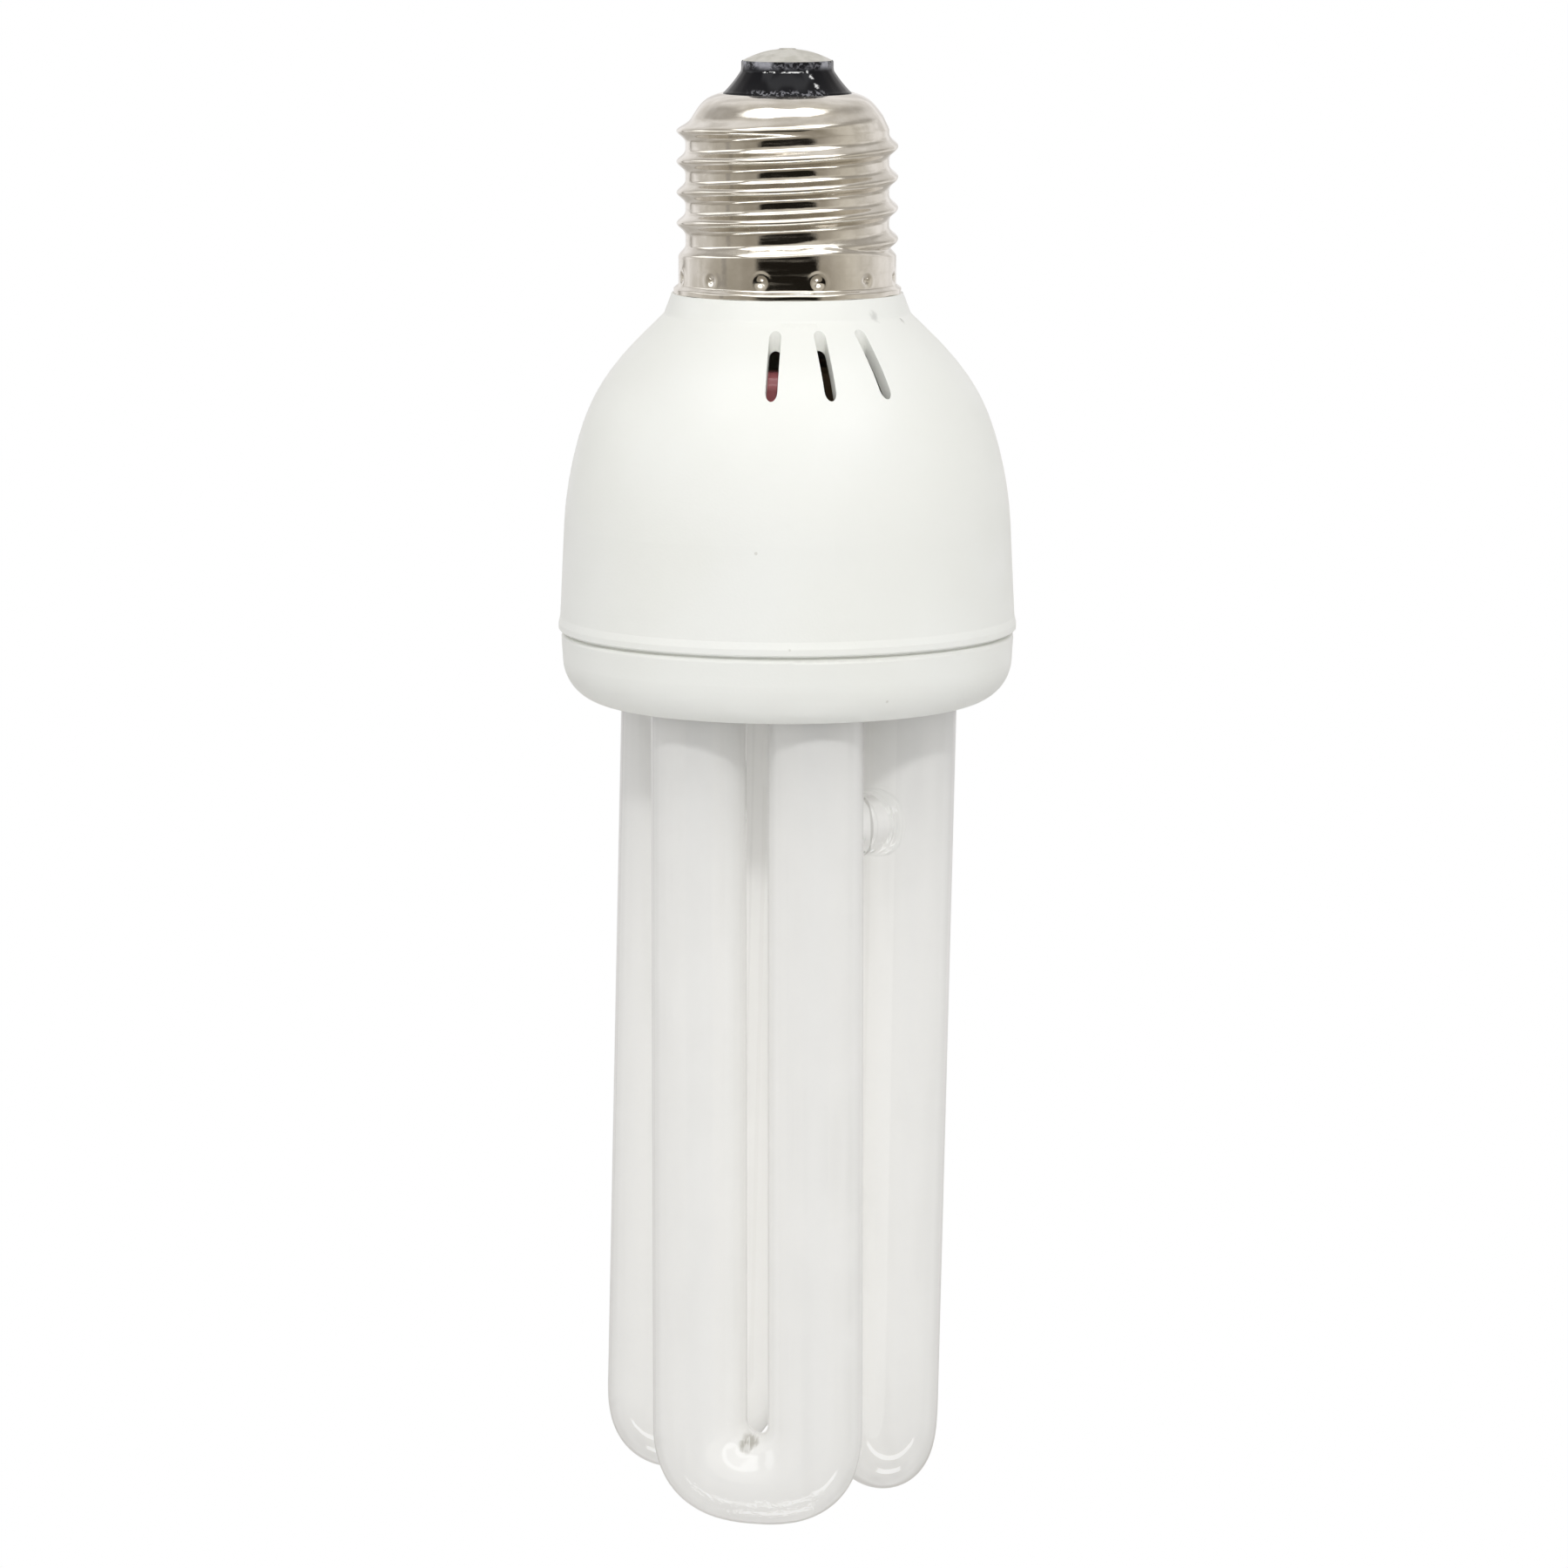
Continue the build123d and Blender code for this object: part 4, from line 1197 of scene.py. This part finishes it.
@dataclass
class Viewpoint:
    """Camera at the photograph's place."""

    target: Point = (-0.4, 0.0, 87.5)
    distance: float = 830.0
    elevation: float = 8.5
    focal: float = 159.4
    sensor: float = 36.0
    nearest: float = 10.0

    def build(self) -> None:
        """Makes the camera and gives it to the scene."""
        data = bpy.data.cameras.new("camera")
        data.lens = self.focal
        data.sensor_width = self.sensor
        data.clip_start = self.nearest * MM
        camera = bpy.data.objects.new("camera", data)
        tilt = math.radians(self.elevation)
        target = Vector(self.target) * MM
        camera.location = target + Vector((0, -math.cos(tilt), math.sin(tilt))) * self.distance * MM
        camera.rotation_euler = (math.pi / 2 - tilt, 0, 0)
        bpy.context.scene.collection.objects.link(camera)
        bpy.context.scene.camera = camera


@dataclass(frozen=True)
class Softbox:
    """One soft lamp of the studio, in metres and watts."""

    name: str
    place: Point
    size: tuple[float, float]
    power: float
    aim: Point = (0.0, 0.0, 0.1)

    def build(self) -> None:
        """Makes the lamp, aimed at the object and not seen in its mirrors."""
        data = bpy.data.lights.new(self.name, "AREA")
        data.shape = "RECTANGLE"
        data.size, data.size_y = self.size
        data.energy = self.power
        lamp = bpy.data.objects.new(self.name, data)
        lamp.location = self.place
        lamp.visible_glossy = False
        lamp.rotation_euler = (Vector(self.aim) - Vector(self.place)).to_track_quat("-Z", "Y").to_euler()
        bpy.context.scene.collection.objects.link(lamp)


class Way(Enum):
    """Measures of a direction in the mirrored room, where the plain ones run from -1 to 1."""

    RIGHT = "to the right"
    ASIDE = "to either side"
    FRONT = "towards the camera"
    BACK = "away from the camera"
    LEVEL = "to the front or the back"
    UP = "upwards"
    PATCH = "uneven patches, from 0 to 1"
    OFF_CORNER = "angle from the left corner"
    OFF_OPENING = "distance from the outline of the opening on the left"
    OFF_CORE = "distance from the core of the panel, 1 at its outline"
    OFF_STRIP = "distance from the strip on the table"


@dataclass(frozen=True)
class Zone:
    """Part of the mirrored room that has a tone of its own.

    Attributes:
        name: What it is.
        tone: Its colour.
        bounds: Measures that bound it, each with the value where it starts and where it is full.
        share: Share of the tone where it is full.
    """

    name: str
    tone: Colour
    bounds: tuple[tuple[Way, float, float], ...]
    share: float = 1.0

    def mask(self, sheet: NodeSheet, ways: dict[Way, Socket]) -> Socket:
        """Where the zone lies, from the measures of a direction."""
        ramps = [sheet.ramp(ways[way], start, full) for way, start, full in self.bounds]
        return sheet.times(*ramps, self.share)


@dataclass
class Room:
    """World of the studio: white to the eye, soft light to dull faces, a drawn room to mirrors."""

    level: float = 0.55  # strength of the soft light
    near_wall: Colour = (0.72, 0.68, 0.61)  # the walls are laid over it in order
    walls: tuple[Zone, ...] = (
        Zone("far wall", (1.0, 0.98, 0.98), ((Way.BACK, -0.5, 0.75),)),
        Zone("patches", (0.3, 0.27, 0.22), ((Way.PATCH, 0.62, 0.38),), 0.3),
        Zone("low band", (0.28, 0.25, 0.2), ((Way.UP, -0.12, -0.3), (Way.UP, -0.8, -0.6)), 0.5),
        Zone("fringe", (0.2, 0.165, 0.12), ((Way.FRONT, 0.4, 0.8), (Way.UP, 0.12, -0.02)), 0.5),
        Zone("side shade", (0.3, 0.28, 0.25), (
            (Way.ASIDE, 0.5, 0.66), (Way.ASIDE, 0.95, 0.82), (Way.UP, 0.25, 0.5)), 0.6),
        Zone("corner", (0.3, 0.27, 0.22), ((Way.OFF_CORNER, 0.7, 0.3), (Way.UP, 0.3, 0.1)), 0.4),
        Zone("opening", (0.3, 0.28, 0.26), ((Way.OFF_OPENING, 0.12, 0.04),), 0.6),
    )
    dark_side: Zone = Zone("dark side", (0.014, 0.012, 0.009), (
        (Way.FRONT, 0.8, 0.88), (Way.UP, 0.04, -0.02), (Way.UP, -0.44, -0.38)))
    later_share: float = 0.15  # of the dark side in a mirror that is seen in another
    panel: Zone = Zone("panel", (2.8, 2.8, 2.8), (
        (Way.UP, 0.46, 0.52), (Way.UP, 0.985, 0.965), (Way.ASIDE, 0.7, 0.58), (Way.FRONT, 0.02, 0.16)))
    panel_core: Zone = Zone("panel core", (1.35, 1.33, 1.3), ((Way.OFF_CORE, 0.66, 0.54),))
    lights: tuple[Zone, ...] = (
        Zone("left window", (1.7, 1.7, 1.7), (
            (Way.RIGHT, -0.72, -0.8), (Way.UP, 0.22, 0.3), (Way.UP, 0.56, 0.48))),
        Zone("table under", (4.0, 4.0, 4.0), (
            (Way.ASIDE, 0.36, 0.26), (Way.UP, -0.85, -0.9), (Way.LEVEL, 0.11, 0.07))),
        Zone("table strip", (4.5, 4.5, 4.5), (
            (Way.ASIDE, 0.8, 0.7), (Way.UP, -0.4, -0.5), (Way.OFF_STRIP, 0.1, 0.07))),
    )
    patch_scale: float = 2.6
    corner_turn: float = -1.2  # radians from the front
    opening: Box = (-1.85, -0.07, 0.62, 0.24)  # angle, height and half sizes
    core: Box = (0.0, 0.76, 0.64, 0.22)  # sideways place, height and half sizes
    strip_slope: float = 0.52  # from straight down

    @staticmethod
    def off_box(sheet: NodeSheet, sideways: Socket, upward: Socket, box: Box) -> Socket:
        """Distance from the middle of a box, 1 at its outline.

        Args:
            sheet: The world's nodes.
            sideways: Measure across the box.
            upward: Measure up the box.
            box: Its middle across and up, and its half sizes.

        Returns:
            The distance.
        """
        middle_across, middle_up, half_across, half_up = box
        across = sheet.maths("DIVIDE", sheet.off(sideways, middle_across), half_across)
        up = sheet.maths("DIVIDE", sheet.off(upward, middle_up), half_up)
        return sheet.maths("MAXIMUM", across, up)

    def measure(self, sheet: NodeSheet) -> dict[Way, Socket]:
        """Measures of the direction that a ray comes from.

        Args:
            sheet: The world's nodes.

        Returns:
            The sockets, by measure.
        """
        right, back, up = sheet.axes("Generated")
        aside = sheet.maths("ABSOLUTE", right)
        front = sheet.times(back, -1.0)
        turn = sheet.maths("ARCTAN2", right, front)
        place = sheet.add("ShaderNodeTexCoord").outputs["Generated"]
        patches = sheet.add("ShaderNodeTexNoise", {
            "Vector": place, "Scale": self.patch_scale, "Detail": 2.0})
        return {
            Way.RIGHT: right,
            Way.ASIDE: aside,
            Way.FRONT: front,
            Way.BACK: back,
            Way.LEVEL: sheet.maths("ABSOLUTE", back),
            Way.UP: up,
            Way.PATCH: patches.outputs["Fac"],
            Way.OFF_CORNER: sheet.off(turn, self.corner_turn),
            Way.OFF_OPENING: sheet.off(self.off_box(sheet, turn, up, self.opening), 1.0),
            Way.OFF_CORE: self.off_box(sheet, aside, up, self.core),
            Way.OFF_STRIP: sheet.off(sheet.maths("DIVIDE", back, up), self.strip_slope),
        }

    def mirrored(self, sheet: NodeSheet, glossy_depth: Socket) -> Socket:
        """Colour of the room in a mirror.

        Args:
            sheet: The world's nodes.
            glossy_depth: How many mirrors the ray has met.

        Returns:
            The colour.
        """
        ways = self.measure(sheet)
        seen = self.near_wall
        for zone in self.walls:
            seen = sheet.blend(zone.mask(sheet, ways), seen, zone.tone, zone.name)
        first = sheet.ramp(glossy_depth, 2.0, 1.0, self.later_share, 1.0)
        dark = sheet.times(self.dark_side.mask(sheet, ways), first)
        seen = sheet.blend(dark, seen, self.dark_side.tone, self.dark_side.name)
        core = self.panel_core.mask(sheet, ways)
        panel = sheet.blend(core, self.panel.tone, self.panel_core.tone, self.panel_core.name)
        seen = sheet.blend(self.panel.mask(sheet, ways), seen, panel, self.panel.name)
        for zone in self.lights:
            seen = sheet.blend(zone.mask(sheet, ways), seen, zone.tone, zone.name)
        return seen

    def build(self) -> None:
        """Makes the world and gives it to the scene."""
        world = bpy.data.worlds.new("studio")
        bpy.context.scene.world = world
        world.use_nodes = True
        sheet = NodeSheet(world.node_tree)
        path = sheet.add("ShaderNodeLightPath").outputs
        tones = (self.mirrored(sheet, path["Glossy Depth"]), 1.0), (WHITE, 1.0), (WHITE, self.level)
        room, white, soft = (
            sheet.add("ShaderNodeBackground", {"Color": tone, "Strength": strength}).outputs["Background"]
            for tone, strength in tones)
        lit = sheet.mix(path["Is Glossy Ray"], soft, room)
        clear = sheet.maths("MAXIMUM", path["Is Camera Ray"], path["Is Transmission Ray"])
        sheet.add("ShaderNodeOutputWorld", {"Surface": sheet.mix(clear, lit, white)})


@dataclass
class Studio:
    """Pale floor, soft lamps and a white room, in metres and watts."""

    floor_r: float = 0.5
    floor_sides: int = 96
    floor_tone: Colour = (0.74, 0.74, 0.74)
    floor_roughness: float = 0.9
    room: Room = field(default_factory=Room)
    boxes: tuple[Softbox, ...] = (
        Softbox("overhead_box", (0.0, -0.3, 0.95), (1.2, 0.6), 1.6),
        Softbox("key_box", (0.05, -0.84, 0.65), (0.07, 0.07), 2.6),
        Softbox("front_box", (0.0, -1.0, 0.12), (0.8, 0.3), 0.3),
        Softbox("back_box", (0.0, 1.0, 0.35), (1.2, 0.8), 0.8),
        Softbox("left_box", (-0.95, -0.45, 0.5), (0.35, 0.9), 1.4),
        Softbox("right_box", (0.95, -0.35, 0.5), (0.35, 0.9), 1.25),
    )

    def floor_paint(self) -> bpy.types.Material:
        """Material that is white to the eye and pale to the light that it gives back.

        Returns:
            The new material.
        """
        sheet = MaterialSheet("pale_floor", {
            "Base Color": self.floor_tone, "Roughness": self.floor_roughness, "Specular IOR Level": 0.0})
        glow = sheet.add("ShaderNodeEmission", {"Color": WHITE, "Strength": 1.0})
        path = sheet.add("ShaderNodeLightPath")
        sheet.surface = sheet.mix(path.outputs["Is Camera Ray"], sheet.surface, glow.outputs["Emission"])
        return sheet.close()

    def build_floor(self) -> None:
        """Makes the round floor."""
        points = [(0.0, 0.0, 0.0)]
        for step in range(self.floor_sides):
            turn = 2 * math.pi * step / self.floor_sides
            points.append((self.floor_r * math.cos(turn), self.floor_r * math.sin(turn), 0.0))
        faces = [[0, step + 1, (step + 1) % self.floor_sides + 1] for step in range(self.floor_sides)]
        mesh = bpy.data.meshes.new("floor")
        mesh.from_pydata(points, [], faces)
        mesh.materials.append(self.floor_paint())
        floor = bpy.data.objects.new("floor", mesh)
        bpy.context.scene.collection.objects.link(floor)
        floor.visible_glossy = False

    def build(self) -> None:
        """Makes the whole studio."""
        self.build_floor()
        self.room.build()
        for box in self.boxes:
            box.build()
        bpy.context.scene.view_settings.view_transform = "Standard"


def dress_nodes(paints: Paints) -> None:
    """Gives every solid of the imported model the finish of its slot.

    Args:
        paints: The materials.
    """
    for part in frame["record"]["subparts"]:
        solid = frame["nodes"][part["node"]]
        solid.data.materials.clear()
        solid.data.materials.append(paints.by_slot[Slot(part["material_slot"])])
        log.info("%s: %s", part["node"], part["material_slot"])


def main() -> None:
    """Builds the lamp and the studio."""
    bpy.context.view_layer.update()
    paints = Paints()
    dress_nodes(paints)
    TubeCluster(paints).build()
    ScrewCap(paints).build()
    Viewpoint().build()
    Studio().build()


if __name__ == "__main__":
    main()
